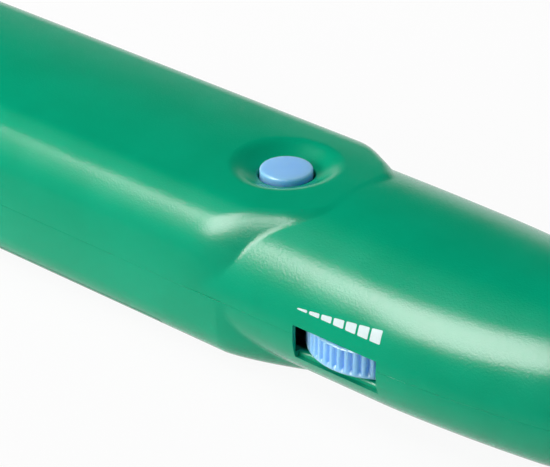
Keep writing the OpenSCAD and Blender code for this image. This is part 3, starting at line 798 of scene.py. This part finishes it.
@dataclass
class Housing:
    """The two green shells and the sliding battery door."""

    finishes: Finishes
    form: HousingForm = field(default_factory=HousingForm)
    wall: float = 2.2
    facets: int = 180
    top_fine: float = 0.2
    back_fine: float = 0.3
    hollow_facets: int = 40
    hollow_fine: float = 1.2
    end_rows: int = 6
    seam_round: float = 0.06
    seam_degrees: tuple[float, ...] = (0, 0.1, 0.2, 0.35, 0.6)
    # How far cutters reach past the housing's rear, its sides and its back
    past_rear: float = 5.0
    past_side: float = 30.0
    past_back: float = 1.0
    # The finger dish and the button's bore, whose lip is given as steps outwards and down
    button_x: float = -3.01
    bore_r: float = 5.25
    bore_depth: float = 8.0
    lip: tuple[Pair, ...] = ((0.0, 0.3), (0.09, 0.08))
    lip_r: float = 0.3
    dish_r: float = 9.7
    dish_depth: float = 3.15
    dish_blend: float = 1.3
    dish_shy: float = 0.004
    dish_over: float = 3.0
    dish_rings: int = 30
    dish_steps: int = 160
    pad_z: float = 25.5
    pad_rim: float = 1.5
    pad_overlap: float = 0.4
    # The wheel's slot
    wheel_x: float = 27.904
    wheel_y: float = -9.9
    well_r: float = 13.8
    slot_l: float = 18.75
    slot_low: float = 9.2
    slot_high: float = 14.95
    sill_y: float = -20.44
    sill_r: float = 0.7
    sill_turn: float = 1.92
    sill_points: int = 12
    relief_y: float = -22.0
    relief_l: float = 5.0
    tip_bore_r: float = 7.1
    # The door, its rails and the bay above it
    door_x: float = -14.606
    door_t: float = 2.72
    door_gap: float = 0.33
    plate_t: float = 2.4
    rail_y: float = 18.2
    rail_w: float = 2.0
    rail_flare: float = 0.6
    rail_h: float = 1.7
    rail_gap: float = 0.25
    rail_root: float = 0.05
    groove_root: float = 0.01
    bay: tuple[Point, Point] = ((-104.6, -13.85, 2.0), (-52.5, 13.85, 6.4))
    ridge_count: int = 5
    ridge_pitch: float = 2.4
    ridge_w: float = 1.1
    ridge_l: float = 18.0
    ridge_depth: float = 0.5
    ridge_at: float = 6.0
    # The loudspeaker's slots and the screw seats
    speaker_x: float = 1.003
    grille_count: int = 5
    grille_pitch: float = 4.0
    grille_w: float = 1.9
    grille_l: float = 17.0
    grille_h: float = 6.0
    grille_points: int = 13
    screws: tuple[Point, ...] = (
        (-44.4, 11.5, 5.4), (-44.4, -11.5, 5.4), (64.005, 7.4, 4.4), (64.005, -7.4, 4.4),
    )
    screw_head_r: float = 3.05

    def build(self) -> None:
        """Builds and dresses the shells and the door."""
        self._top_shell()
        back = self._solid("bottom_shell_body", Half.BACK, 0, self.back_fine, self.facets)
        door = copied(back)
        self._bottom_shell(back)
        self._battery_door(door)

    def _solid(self, name: str, half: Half, inset: float, fine: float, facets: int) -> Piece:
        """Makes one half of the housing as a closed solid.

        Args:
            name: the name of the new piece.
            half: the half of the housing.
            inset: how far its surface is drawn in.
            fine: the spacing of its points along the crease.
            facets: the number of faces round the half.

        Returns:
            The new mesh object.
        """
        form = self.form
        x = form.stations(half, fine)
        squeeze = 1 - 2 * inset / (form.nose_x - form.rear_x)
        x = form.rear_x + inset + (x - form.rear_x) * squeeze
        seam = np.radians(self.seam_degrees)
        even = np.radians(np.linspace(1, 179, facets - 1))
        angle = np.concatenate([seam, even, np.pi - seam[::-1]])
        radius = form.radius(x[:, None], angle[None, :], inset, half)
        if not inset:
            height = np.minimum(np.abs(radius * np.sin(angle)), self.seam_round)
            radius = radius - rounding(self.seam_round, self.seam_round - height)
        ends = np.linspace(0, 1, self.end_rows)[:-1]
        radius = np.concatenate([ends[:, None] * radius[0], radius, ends[::-1, None] * radius[-1]])
        x = np.concatenate([np.full(len(ends), x[0]), x, np.full(len(ends), x[-1])])
        across = radius * np.cos(angle)
        upward = form.joint_z + half.value * radius * np.sin(angle)
        along = np.broadcast_to(x[:, None], across.shape)
        piece = surface(name, np.stack([along, across, upward], axis=-1))
        with editing(piece):
            bpy.ops.mesh.select_non_manifold(extend=False, use_wire=False, use_multi_face=False,
                                             use_non_contiguous=False, use_verts=False)
            if inset:
                lift = (0, 0, -half.value * self.wall * MM)
                bpy.ops.mesh.extrude_region_move(TRANSFORM_OT_translate={"value": lift})
            bpy.ops.mesh.edge_face_add()
            bpy.ops.mesh.select_all(action="SELECT")
            bpy.ops.mesh.normals_make_consistent(inside=False)
        return piece

    def _hollow(self, half: Half) -> Piece:
        """Makes the solid that hollows one half out."""
        return self._solid("hollow", half, self.wall, self.hollow_fine, self.hollow_facets)

    def _slot_cutters(self) -> list[Piece]:
        """Makes the cutters of the wheel's slot: a window with an eased sill, and its well."""
        start = self.wheel_x - self.slot_l / 2
        sill = [(-self.past_side, self.slot_high), (self.wheel_y, self.slot_high),
                (self.wheel_y, self.slot_low)]
        sill += arc((self.sill_y, self.slot_low - self.sill_r), self.sill_r,
                    math.pi / 2 + np.linspace(0, self.sill_turn, self.sill_points))
        sill += [(-self.past_side, sill[-1][1])]
        window = prism("window", [(start, y, z) for y, z in sill], (self.slot_l, 0, 0))
        relief = block("relief", (start - self.relief_l, self.relief_y, self.slot_low),
                       (start + self.slot_l + self.relief_l, self.wheel_y, self.slot_high))
        centre = (self.wheel_x, self.wheel_y, 0)
        well = post("well", centre, self.slot_low, self.slot_high, self.well_r)
        return [window, relief, well]

    def _tip_cutter(self) -> Piece:
        """Makes the cutter of the bore in the nose."""
        low, high = self.form.nose_x - 2 * self.wall, self.form.nose_x + self.wall
        centre = (0, 0, self.form.joint_z)
        return post("tip_bore", centre, low, high, self.tip_bore_r, Axis.ALONG, steps=64)

    def _dish_depth_at(self, radius: Array) -> Array:
        """Gives the dish's depth at distances from the button's centre, with a soft rim."""
        bowl = self.dish_depth * (1 - (radius / self.dish_r) ** 2)
        return eased_max(bowl, 0, self.dish_blend * self.dish_depth / self.dish_r * 2)

    def _button_cutter(self) -> Piece:
        """Makes the cutter of the finger dish, which follows the crown, and of the bore below."""
        bowl = np.linspace(self.bore_r + self.lip_r, self.dish_r + 2 * self.dish_blend,
                           self.dish_rings)
        edge = self._dish_depth_at(np.array([self.bore_r]))[0]
        radius = [0, self.bore_r, *(self.bore_r + out for out, _ in self.lip), *bowl, bowl[-1], 0]
        depth = [self.bore_depth, self.bore_depth, *(edge + down for _, down in self.lip),
                 *(self._dish_depth_at(bowl) - self.dish_shy), -self.dish_over, -self.dish_over]
        radius, depth = np.array(radius)[:, None], np.array(depth)[:, None]
        angle = np.linspace(0, 2 * np.pi, self.dish_steps + 1)
        across = radius * np.sin(angle)
        along = self.button_x + radius * np.cos(angle)
        upward = self.form.top_height(across) - depth
        # The bore's foot is level and doesn't follow the crown
        upward[:3] = self.form.height - depth[:3]
        return surface("dish", np.stack([along, across, upward], axis=-1))

    def _top_shell(self) -> None:
        """Builds the upper shell with the finger dish."""
        shell = self._solid("top_shell_body", Half.TOP, 0, self.top_fine, self.facets)
        combine(shell, [self._hollow(Half.TOP)], Join.CUT)
        pad_top = self.form.height - self.wall + self.pad_overlap
        pad = post("pad", (self.button_x, 0, 0), self.pad_z, pad_top, self.dish_r + self.pad_rim)
        combine(shell, [pad], Join.ADD)
        cutters = [self._button_cutter(), *self._slot_cutters(), self._tip_cutter()]
        combine(shell, cutters, Join.CUT)
        finish_piece(shell, Body.HOUSING, self.finishes.green, ["top_shell"])

    def _rails(self, start: float, stop: float, low: float, gap: float) -> list[Piece]:
        """Makes the door's two flared rails, or with a gap the cutters of their grooves.

        Args:
            start: where they start along the housing.
            stop: where they end.
            low: the height of their foot.
            gap: how much wider they are all round.

        Returns:
            The two mesh objects.
        """
        foot = self.rail_w / 2 + gap
        crest = foot + self.rail_flare
        high = low + self.rail_h + gap
        rails = []
        for y in (-self.rail_y, self.rail_y):
            outline = [(start, y - foot, low), (start, y + foot, low),
                       (start, y + crest, high), (start, y - crest, high)]
            rails.append(prism("rail", outline, (stop - start, 0, 0)))
        return rails

    def _grille_cutters(self) -> list[Piece]:
        """Makes the cutters of the loudspeaker's slots, one modelled and the rest copied."""
        half_l = (self.grille_l - self.grille_w) / 2
        end = arc((0, half_l), self.grille_w / 2, np.linspace(0, np.pi, self.grille_points))
        outline = [(x, y, -self.past_back) for x, y in end]
        outline += [(-x, -y, z) for x, y, z in outline]
        first = prism("grille_slot", outline, (0, 0, self.grille_h))
        middle = (self.grille_count - 1) / 2
        places = [self.speaker_x + (place - middle) * self.grille_pitch
                  for place in range(self.grille_count)]
        slots = [copied(first, (x * MM, 0, 0)) for x in places]
        bpy.data.objects.remove(first)
        return slots

    def _below(self, name: str, front: float, top: float) -> Piece:
        """Makes a block of all that lies behind a place along the housing and below a height."""
        low = (self.form.rear_x - self.past_rear, -self.past_side, -self.past_rear)
        return block(name, low, (front, self.past_side, top))

    def _bottom_shell(self, shell: Piece) -> None:
        """Builds the lower shell with the battery floor, grooves, grille and screw seats."""
        floor = self.door_t + self.door_gap
        front = self.door_x + self.door_gap
        hollow = self._hollow(Half.BACK)
        plate = self._below("plate", front + self.wall, floor + self.plate_t)
        combine(hollow, [plate], Join.CUT)
        doorway = self._below("doorway", front, floor)
        grooves = self._rails(self.form.rear_x - self.past_rear, front, floor - self.groove_root,
                              self.rail_gap)
        seats = [post("screw_seat", (x, y, 0), -self.past_back, z, self.screw_head_r)
                 for x, y, z in self.screws]
        cutters = [hollow, doorway, block("bay", *self.bay), *grooves, *self._grille_cutters(),
                   *seats, *self._slot_cutters(), self._tip_cutter()]
        combine(shell, cutters, Join.CUT)
        finish_piece(shell, Body.HOUSING, self.finishes.green, ["bottom_shell"])

    def _battery_door(self, door: Piece) -> None:
        """Builds the door with its rails and finger ridges."""
        door.name = "battery_door_panel"
        door.data.name = door.name
        combine(door, [self._below("keep", self.door_x, self.door_t)], Join.KEEP)
        rails = self._rails(self.form.rear_x + self.form.rear_corner_r, self.door_x,
                            self.door_t - self.rail_root, 0)
        combine(door, rails, Join.ADD)
        ridges = []
        for place in range(self.ridge_count):
            start = self.door_x - self.ridge_at - place * self.ridge_pitch
            ridges.append(block("ridge", (start, -self.ridge_l / 2, -self.past_back),
                                (start + self.ridge_w, self.ridge_l / 2, self.ridge_depth)))
        combine(door, ridges, Join.CUT)
        finish_piece(door, Body.DOOR, self.finishes.green, ["battery_door"])


# The controls


@dataclass
class PowerButton:
    """The round blue push button."""

    finishes: Finishes
    x: float = Housing.button_x
    cap_r: float = 4.85
    cap_top: float = 29.5
    edge: float = 0.45
    edge_turn: float = 0.93 * math.pi / 2
    edge_points: int = 8
    crown: float = 0.12
    crown_points: int = 9
    flange_r: float = 6.4
    flange_low: float = 24.2
    flange_high: float = 25.2

    def build(self) -> None:
        """Spins the cap with its rounded edge and low crown, and dresses it."""
        edge = arc((self.cap_r - self.edge, self.cap_top - self.edge), self.edge,
                   np.linspace(0, self.edge_turn, self.edge_points))
        rim_r, rim_z = edge[-1]
        crown = [(r, rim_z + self.crown * (1 - (r / rim_r) ** 2))
                 for r in np.linspace(rim_r, 0, self.crown_points)[1:]]
        profile = [(0, self.flange_low), (self.flange_r, self.flange_low),
                   (self.flange_r, self.flange_high), (self.cap_r, self.flange_high),
                   *edge, *crown]
        button = turned("power_button_cap", profile, (self.x, 0, 0))
        finish_piece(button, Body.BUTTON, self.finishes.blue, ["power_button"])


@dataclass
class Thumbwheel:
    """The ribbed blue wheel in the side slot."""

    finishes: Finishes
    x: float = Housing.wheel_x
    y: float = Housing.wheel_y
    low: float = 9.6
    high: float = 14.7
    radius: float = 13.2
    ribs: int = 51
    rib_depth: float = 0.6
    rib_points: int = 12
    rib_power: float = 1.6
    edge: float = 0.4
    edge_points: int = 5
    # The ribs start above a plain rim, and run out over these heights
    rim_low: float = 0.05
    rim_ease: float = 0.6
    rim_steps: tuple[float, ...] = (0.05, 0.2, 0.35, 0.5, 0.65, 1.2)
    skin: float = 0.02
    rim_t: float = 2.6
    recess: float = 1.2
    hub_r: float = 5.2
    bore_r: float = 3.05
    head_r: float = 2.45
    head_h: float = 1.35

    def build(self) -> None:
        """Wraps the wheel's section round its axis, with ribs outside, and dresses it."""
        radius, height = np.array(self._section()).T
        angle = np.linspace(0, 2 * np.pi, self.ribs * self.rib_points + 1)
        wave = (1 - np.cos(self.ribs * angle)) / 2
        groove = self.rib_depth * wave ** self.rib_power
        outside = np.clip((radius - (self.radius - self.skin)) / self.skin, 0, 1)
        above = height - self.low - self.edge - self.rim_low
        outside = outside * np.clip(above / self.rim_ease, 0, 1)
        rings = radius[:, None] - outside[:, None] * groove
        points = np.stack([
            self.x + rings * np.cos(angle), self.y + rings * np.sin(angle),
            np.broadcast_to(height[:, None], rings.shape),
        ], axis=-1)
        wheel = surface("sensitivity_thumbwheel", points)
        finish_piece(wheel, Body.WHEEL, self.finishes.blue, ["sensitivity_wheel"],
                     angle=40)

    def _section(self) -> list[Pair]:
        """Gives the wheel's section as a closed chain of radii and heights."""
        lower = arc((self.radius - self.edge, self.low + self.edge), self.edge,
                    np.linspace(-math.pi / 2, 0, self.edge_points))
        upper = [(r, self.low + self.high - z) for r, z in lower[::-1]]
        lower += [(self.radius, self.low + self.edge + step) for step in self.rim_steps]
        inner = self.radius - self.rim_t
        floor = self.high - self.recess
        head = self.low + self.head_h
        return [
            (self.head_r, head), (self.head_r, self.low), *lower, *upper, (inner, self.high),
            (inner, floor), (self.hub_r, floor), (self.hub_r, self.high),
            (self.bore_r, self.high), (self.bore_r, head), (self.head_r, head),
        ]


@dataclass
class SensitivityScale:
    """The printed wedge of marks above the wheel's slot."""

    finishes: Finishes
    form: HousingForm = field(default_factory=HousingForm)
    start: float = 19.15
    stop: float = 37.6
    low: Pair = (18.15, 18.15)
    high: Pair = (18.4, 20.55)
    marks: int = 7
    gap: float = 0.5
    ink_t: float = 0.03
    corner: float = 0.1
    columns: int = 13
    rows: int = 9

    def build(self) -> None:
        """Prints each mark on the neck's side and joins them into one piece."""
        pitch = (self.stop - self.start + self.gap) / self.marks
        pieces = []
        for mark in range(self.marks):
            begin = self.start + mark * pitch
            pieces.append(self._mark(begin, begin + pitch - self.gap))
        scale = joined("sensitivity_scale", pieces)
        finish_piece(scale, Body.HOUSING, self.finishes.ink, angle=50)

    def _edge_height(self, x: Array, edge: Pair) -> Array:
        """Gives the height of the wedge's lower or upper edge along the housing."""
        return edge[0] + (edge[1] - edge[0]) * (x - self.start) / (self.stop - self.start)

    def _mark(self, begin: float, end: float) -> Piece:
        """Lays one mark with rounded corners on the neck's side.

        Args:
            begin: where it begins along the housing.
            end: where it ends.

        Returns:
            The new mesh object, a thin film that is closed at its ends.
        """
        share = np.concatenate([[0], np.linspace(0, 1, self.columns), [1]])
        ink = np.concatenate([[0], np.full(self.columns, self.ink_t), [0]])
        x = begin + (end - begin) * share
        low, high = self._edge_height(x, self.low), self._edge_height(x, self.high)
        radius = np.minimum(self.corner, (high - low) / 2)
        ease = rounding(radius, np.maximum(radius - np.minimum(x - begin, end - x), 0))
        low, high = low + ease, high - ease
        z = low + (high - low) * np.linspace(0, 1, self.rows)[:, None]
        x = np.broadcast_to(x, z.shape)
        y = self._wall(x, z)
        outer = np.stack([x, y - ink, z], axis=-1)
        inner = np.stack([x, y + ink, z], axis=-1)
        return surface("mark", np.concatenate([outer, inner[::-1], outer[:1]]))

    def _wall(self, x: Array, z: Array) -> Array:
        """Finds the neck's near side at places along the housing and at heights."""
        def radius(angle: Array) -> Array:
            """Gives the neck's surface in directions round the centre line."""
            return self.form.neck_radius(x, angle, 0, Half.TOP)

        angle = halved(np.zeros_like(z), np.full_like(z, np.pi / 2),
                       lambda a: radius(a) * np.sin(a) < z - self.form.joint_z)
        return -radius(angle) * np.cos(angle)


# The other pieces


@dataclass
class ProbeTip:
    """The black cone at the nose."""

    finishes: Finishes
    axis_z: float = HousingForm.joint_z
    nose_x: float = HousingForm.nose_x
    front_x: float = 109.0
    root_r: float = 7.0
    # A fine ring at the cone's root, as steps inwards and forwards
    ring: tuple[Pair, ...] = ((0, 0.02), (0, 0.9), (0.25, 1.1), (0.25, 1.5))
    cone_start: float = 1.75
    cone_rings: int = 6
    end_r: float = 3.0
    end_points: int = 14
    flange_r: float = 8.4
    flange_x: float = 83.8
    flange_edge: float = 1.2
    shank_x: float = 86.71
    bore_r: float = 1.25
    bore_end: float = 103.0
    steps: int = 96

    def build(self) -> None:
        """Spins the cone with a rounded end and a fine ring at its root, and dresses it."""
        end_x = self.front_x - self.end_r
        back_x = self.flange_x - self.flange_edge
        slope = (self.root_r - self.end_r) / (end_x - self.nose_x)
        ring = [(self.root_r - inward, self.nose_x + along) for inward, along in self.ring]
        cone = [(self.root_r - slope * (x - self.nose_x), x)
                for x in np.linspace(self.nose_x + self.cone_start, end_x, self.cone_rings)]
        end = arc((0, end_x), self.end_r, np.linspace(0, math.pi / 2, self.end_points)[1:])
        profile = [(0, self.bore_end), (self.bore_r, self.bore_end), (self.bore_r, back_x),
                   (self.flange_r - self.flange_edge, back_x), (self.flange_r, self.flange_x),
                   (self.flange_r, self.shank_x), (self.root_r, self.shank_x),
                   *ring, *cone, *end]
        tip = turned("probe_tip_cone", profile, (0, 0, self.axis_z), Axis.ALONG, self.steps)
        finish_piece(tip, Body.HOUSING, self.finishes.black, ["probe_tip"])


@dataclass
class CaseScrews:
    """The four cross-head screws that hold the shells together."""

    finishes: Finishes
    places: tuple[Point, ...] = Housing.screws
    head_r: float = 2.7
    head_h: float = 2.0
    dome: float = 0.5
    dome_turn: float = 1.3
    dome_points: int = 8
    shank_r: float = 1.45
    shank_l: float = 16.0
    point_r: float = 0.3
    point_l: float = 1.2
    cross_w: float = 0.75
    cross_l: float = 3.0
    cross_depth: float = 1.1
    cross_over: float = 1.0
    steps: int = 48

    def build(self) -> None:
        """Models one screw, copies it to each seat, joins the copies and dresses them."""
        first = self._screw()
        copies = [copied(first, Vector(place) * MM) for place in self.places]
        bpy.data.objects.remove(first)
        screws = joined("case_screw_set", copies)
        finish_piece(screws, Body.HOUSING, self.finishes.steel, ["case_screws"], angle=35)

    def _screw(self) -> Piece:
        """Spins a screw that points up from its head's underside, and cuts its cross."""
        low = -self.head_h
        flat = 1 - math.cos(self.dome_turn)
        spread = self.head_r / math.sin(self.dome_turn)
        dome = [(spread * math.sin(a), low + self.dome * (1 - math.cos(a)) / flat)
                for a in np.linspace(0, self.dome_turn, self.dome_points)]
        profile = [*dome, (self.head_r, 0), (self.shank_r, 0),
                   (self.shank_r, self.shank_l - self.point_l), (self.point_r, self.shank_l),
                   (0, self.shank_l)]
        screw = turned("screw", profile, (0, 0, 0), steps=self.steps)
        half_w, half_l = self.cross_w / 2, self.cross_l / 2
        arms = [block("arm", (-x, -y, low - self.cross_over), (x, y, low + self.cross_depth))
                for x, y in ((half_l, half_w), (half_w, half_l))]
        combine(screw, arms, Join.CUT)
        return screw


@dataclass
class BatteryPack:
    """The nine-volt block, seen once the door is off."""

    finishes: Finishes
    low: Point = (-104.0, -13.25, 3.1)
    high: Point = (-58.0, 13.25, 20.6)
    corner_r: float = 2.2
    corner_points: int = 9
    # A rolled end, as steps along the can and inwards
    roll: tuple[Pair, ...] = (
        (0.0, 0.7), (0.12, 0.32), (0.35, 0.1), (0.7, 0.0), (1.2, 0.0), (1.5, 0.06), (1.75, 0.24),
        (2.1, 0.3),
    )

    def build(self) -> None:
        """Lofts the can between its two rolled ends and dresses it."""
        rear = [self._section(self.low[0] + along, shy) for along, shy in self.roll]
        front = [self._section(self.high[0] - along, shy) for along, shy in self.roll[::-1]]
        rows = [*rear, *front]
        poles = [np.broadcast_to(row.mean(axis=0), row.shape) for row in (rows[0], rows[-1])]
        can = surface("battery_can_body", np.stack([poles[0], *rows, poles[1]]))
        finish_piece(can, Body.HOUSING, self.finishes.battery, ["battery_case"])

    def _section(self, x: float, shy: float) -> Array:
        """Gives the can's rounded section at a place along it, drawn in by some millimetres."""
        corner = self.corner_r - shy
        half_w, half_h = ((self.high[axis] - self.low[axis]) / 2 - self.corner_r
                          for axis in (1, 2))
        middle_y, middle_z = ((self.high[axis] + self.low[axis]) / 2 for axis in (1, 2))
        quarter = np.linspace(0, np.pi / 2, self.corner_points)
        points = []
        for count, (side, rise) in enumerate([(1, 1), (-1, 1), (-1, -1), (1, -1)]):
            centre = (middle_y + side * half_w, middle_z + rise * half_h)
            points += [(x, y, z) for y, z in arc(centre, corner, quarter + count * np.pi / 2)]
        return np.array([*points, points[0]])


@dataclass
class InnerParts:
    """The CAD nodes inside the housing, which keep their shapes."""

    finishes: Finishes

    def dress(self) -> None:
        """Gives each inner node its finish."""
        dressing = {
            self.finishes.ivory: ["switch_plunger"],
            self.finishes.switch: ["switch_body", "potentiometer"],
            self.finishes.steel: ["wheel_screw", "pot_terminals", "speaker_basket",
                                  "battery_terminals", "board_screws"],
            self.finishes.aluminium: ["pot_shaft"],
            self.finishes.board: ["circuit_board"],
            self.finishes.chip: ["chip_packages", "chip_resistors"],
            self.finishes.sleeve: ["filter_capacitors"],
            self.finishes.film: ["speaker_cone"],
            self.finishes.ferrite: ["speaker_magnet"],
            self.finishes.wire: ["speaker_leads", "antenna_lead", "battery_leads"],
            self.finishes.brass: ["antenna_rod"],
            self.finishes.black: ["battery_snap"],
        }
        for finish, names in dressing.items():
            for name in names:
                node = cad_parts[name]
                node.data.materials.clear()
                node.data.materials.append(finish)
                LOG.info("%s: dressed in %s", name, finish.name)


# The studio


@dataclass(frozen=True)
class Softbox:
    """One rectangular studio light that faces the locator, with lengths in metres."""

    name: str
    azimuth: float
    elevation: float
    width: float
    height: float
    power: float
    roll: float = 0.0
    matt: bool = True
    glossy: bool = True
    distance: float = 1.0

    def build(self, target: Vector) -> None:
        """Hangs the light and turns it to its target, a point in metres."""
        azimuth, elevation = math.radians(self.azimuth), math.radians(self.elevation)
        way = Vector((math.cos(elevation) * math.cos(azimuth),
                      math.cos(elevation) * math.sin(azimuth), math.sin(elevation)))
        lamp = bpy.data.lights.new(self.name, "AREA")
        lamp.shape = "RECTANGLE"
        lamp.size = self.width
        lamp.size_y = self.height
        lamp.energy = self.power
        holder = bpy.data.objects.new(self.name, lamp)
        bpy.context.collection.objects.link(holder)
        holder.location = target + way * self.distance
        turn = way.to_track_quat("Z", "Y") @ Quaternion((0, 0, 1), math.radians(self.roll))
        holder.rotation_euler = turn.to_euler()
        holder.visible_diffuse = self.matt
        holder.visible_glossy = self.glossy


@dataclass
class Studio:
    """The floor, the lights and the camera."""

    camera_place: Point = (313.56, -359.27, 274.68)
    azimuth: float = 41.63
    elevation: float = 28.38
    focal_px: float = 2991.8
    frame_px: float = 550.0
    sensor: float = 36.0
    clip: Pair = (0.01, 20.0)
    floor_size: float = 6.0
    floor_gap: float = 0.25
    floor_white: float = 0.7
    shadow_share: float = 0.07
    # The room: a white wall up to low angles, dim above it, and dark to mirrored rays where it
    # lies on the near side, as is the table from these distances in metres
    wall_fade: Pair = (6.0, 16.0)
    world_level: float = 0.02
    table_fade: Pair = (0.026, 0.055)
    room_fade: Pair = (-0.1, 0.2)
    room_level: float = 0.1
    target: Point = (20.0, 0.0, 15.0)
    lights: tuple[Softbox, ...] = (
        Softbox("key_sheen", -116, 40, 0.7, 0.54, power=26.0, roll=-45, matt=False),
        Softbox("shoulder_sheen", -80, 44, 0.26, 0.3, power=4.4, matt=False),
        Softbox("top_fill", -165, 58, 0.8, 0.5, power=7.4, glossy=False),
        Softbox("near_fill", -126, 20, 0.8, 0.4, power=8.2, glossy=False),
        Softbox("back_fill", 78, 15, 0.8, 0.4, power=4.3, glossy=False),
    )

    def build(self) -> None:
        """Builds the floor, the lights and the camera, and sets the view."""
        self._floor()
        self._world()
        for light in self.lights:
            light.build(Vector(self.target) * MM)
        self._camera()
        bpy.context.scene.view_settings.view_transform = "Standard"

    def _near(self, shader: Shader, place: Socket, fade: Pair) -> Value:
        """Gives 1 where a mirrored ray meets the near side, faded in over a span towards -Y."""
        return shader.ray("Glossy") * (shader.along(place, "Y") * -1).ramp(*fade)

    def _floor(self) -> None:
        """Lays the pale floor, which shows white and keeps a soft shadow."""
        bpy.ops.object.select_all(action="DESELECT")
        bpy.ops.mesh.primitive_plane_add(size=self.floor_size)
        floor = new_piece("studio_floor")
        floor.location.z = -self.floor_gap * MM
        shader = Shader("studio_white")
        matt = shader.node("ShaderNodeBsdfDiffuse", None, {"Color": grey(self.floor_white)})
        near = self._near(shader, shader.place(), self.table_fade)
        shine = shader.mix(near, grey(1), grey(self.room_level))
        glow = shader.node("ShaderNodeEmission", None, {"Color": shine, "Strength": 1})
        seen = shader.value("ShaderNodeMath", {"operation": "ADD", "use_clamp": True}, {
            0: shader.ray("Camera") + shader.ray("Glossy"), 1: shader.ray("Transmission"),
        })
        mix = shader.node("ShaderNodeMixShader", None, {
            0: seen * (1 - self.shadow_share), 1: matt.outputs[0], 2: glow.outputs[0],
        })
        shader.node("ShaderNodeOutputMaterial", None, {"Surface": mix.outputs[0]})
        shader.material.cycles.emission_sampling = "NONE"
        floor.data.materials.append(shader.material)

    def _world(self) -> None:
        """Surrounds the scene with a white wall up to a low height and a dim room above it."""
        world = bpy.data.worlds.new("studio_room")
        bpy.context.scene.world = world
        shader = Shader(world.name, world)
        way = shader.place("Generated")
        low, high = (math.sin(math.radians(angle)) for angle in self.wall_fade)
        ceiling = shader.along(way, "Z").ramp(low, high)
        wall = 1 - self._near(shader, way, self.room_fade) * (1 - self.room_level)
        strength = wall * (1 - ceiling * (1 - self.world_level))
        shine = shader.mix(strength, grey(0), grey(1))
        room = shader.node("ShaderNodeBackground", None, {"Color": shine, "Strength": 1})
        shader.node("ShaderNodeOutputWorld", None, {"Surface": room.outputs[0]})

    def _camera(self) -> None:
        """Sets the camera where the photograph was taken from."""
        azimuth, elevation = math.radians(self.azimuth), math.radians(self.elevation)
        back = Vector((math.sin(azimuth) * math.cos(elevation),
                       -math.cos(azimuth) * math.cos(elevation), math.sin(elevation)))
        right = Vector((math.cos(azimuth), math.sin(azimuth), 0))
        turn = Matrix((right, back.cross(right), back)).transposed().to_4x4()
        lens = bpy.data.cameras.new("photo_camera")
        lens.sensor_fit = "HORIZONTAL"
        lens.sensor_width = self.sensor
        lens.lens = self.focal_px / self.frame_px * self.sensor
        lens.clip_start, lens.clip_end = self.clip
        camera = bpy.data.objects.new("photo_camera", lens)
        bpy.context.collection.objects.link(camera)
        camera.matrix_world = Matrix.Translation(Vector(self.camera_place) * MM) @ turn
        bpy.context.scene.camera = camera


def main() -> None:
    """Builds every sub-assembly, dresses the inner parts and sets the studio."""
    logging.basicConfig(level=logging.INFO, format="%(name)s %(message)s")
    finishes = Finishes()
    for assembly in (Housing, PowerButton, Thumbwheel, SensitivityScale, ProbeTip, CaseScrews,
                     BatteryPack):
        assembly(finishes).build()
    InnerParts(finishes).dress()
    Studio().build()


if __name__ == "__main__":
    main()
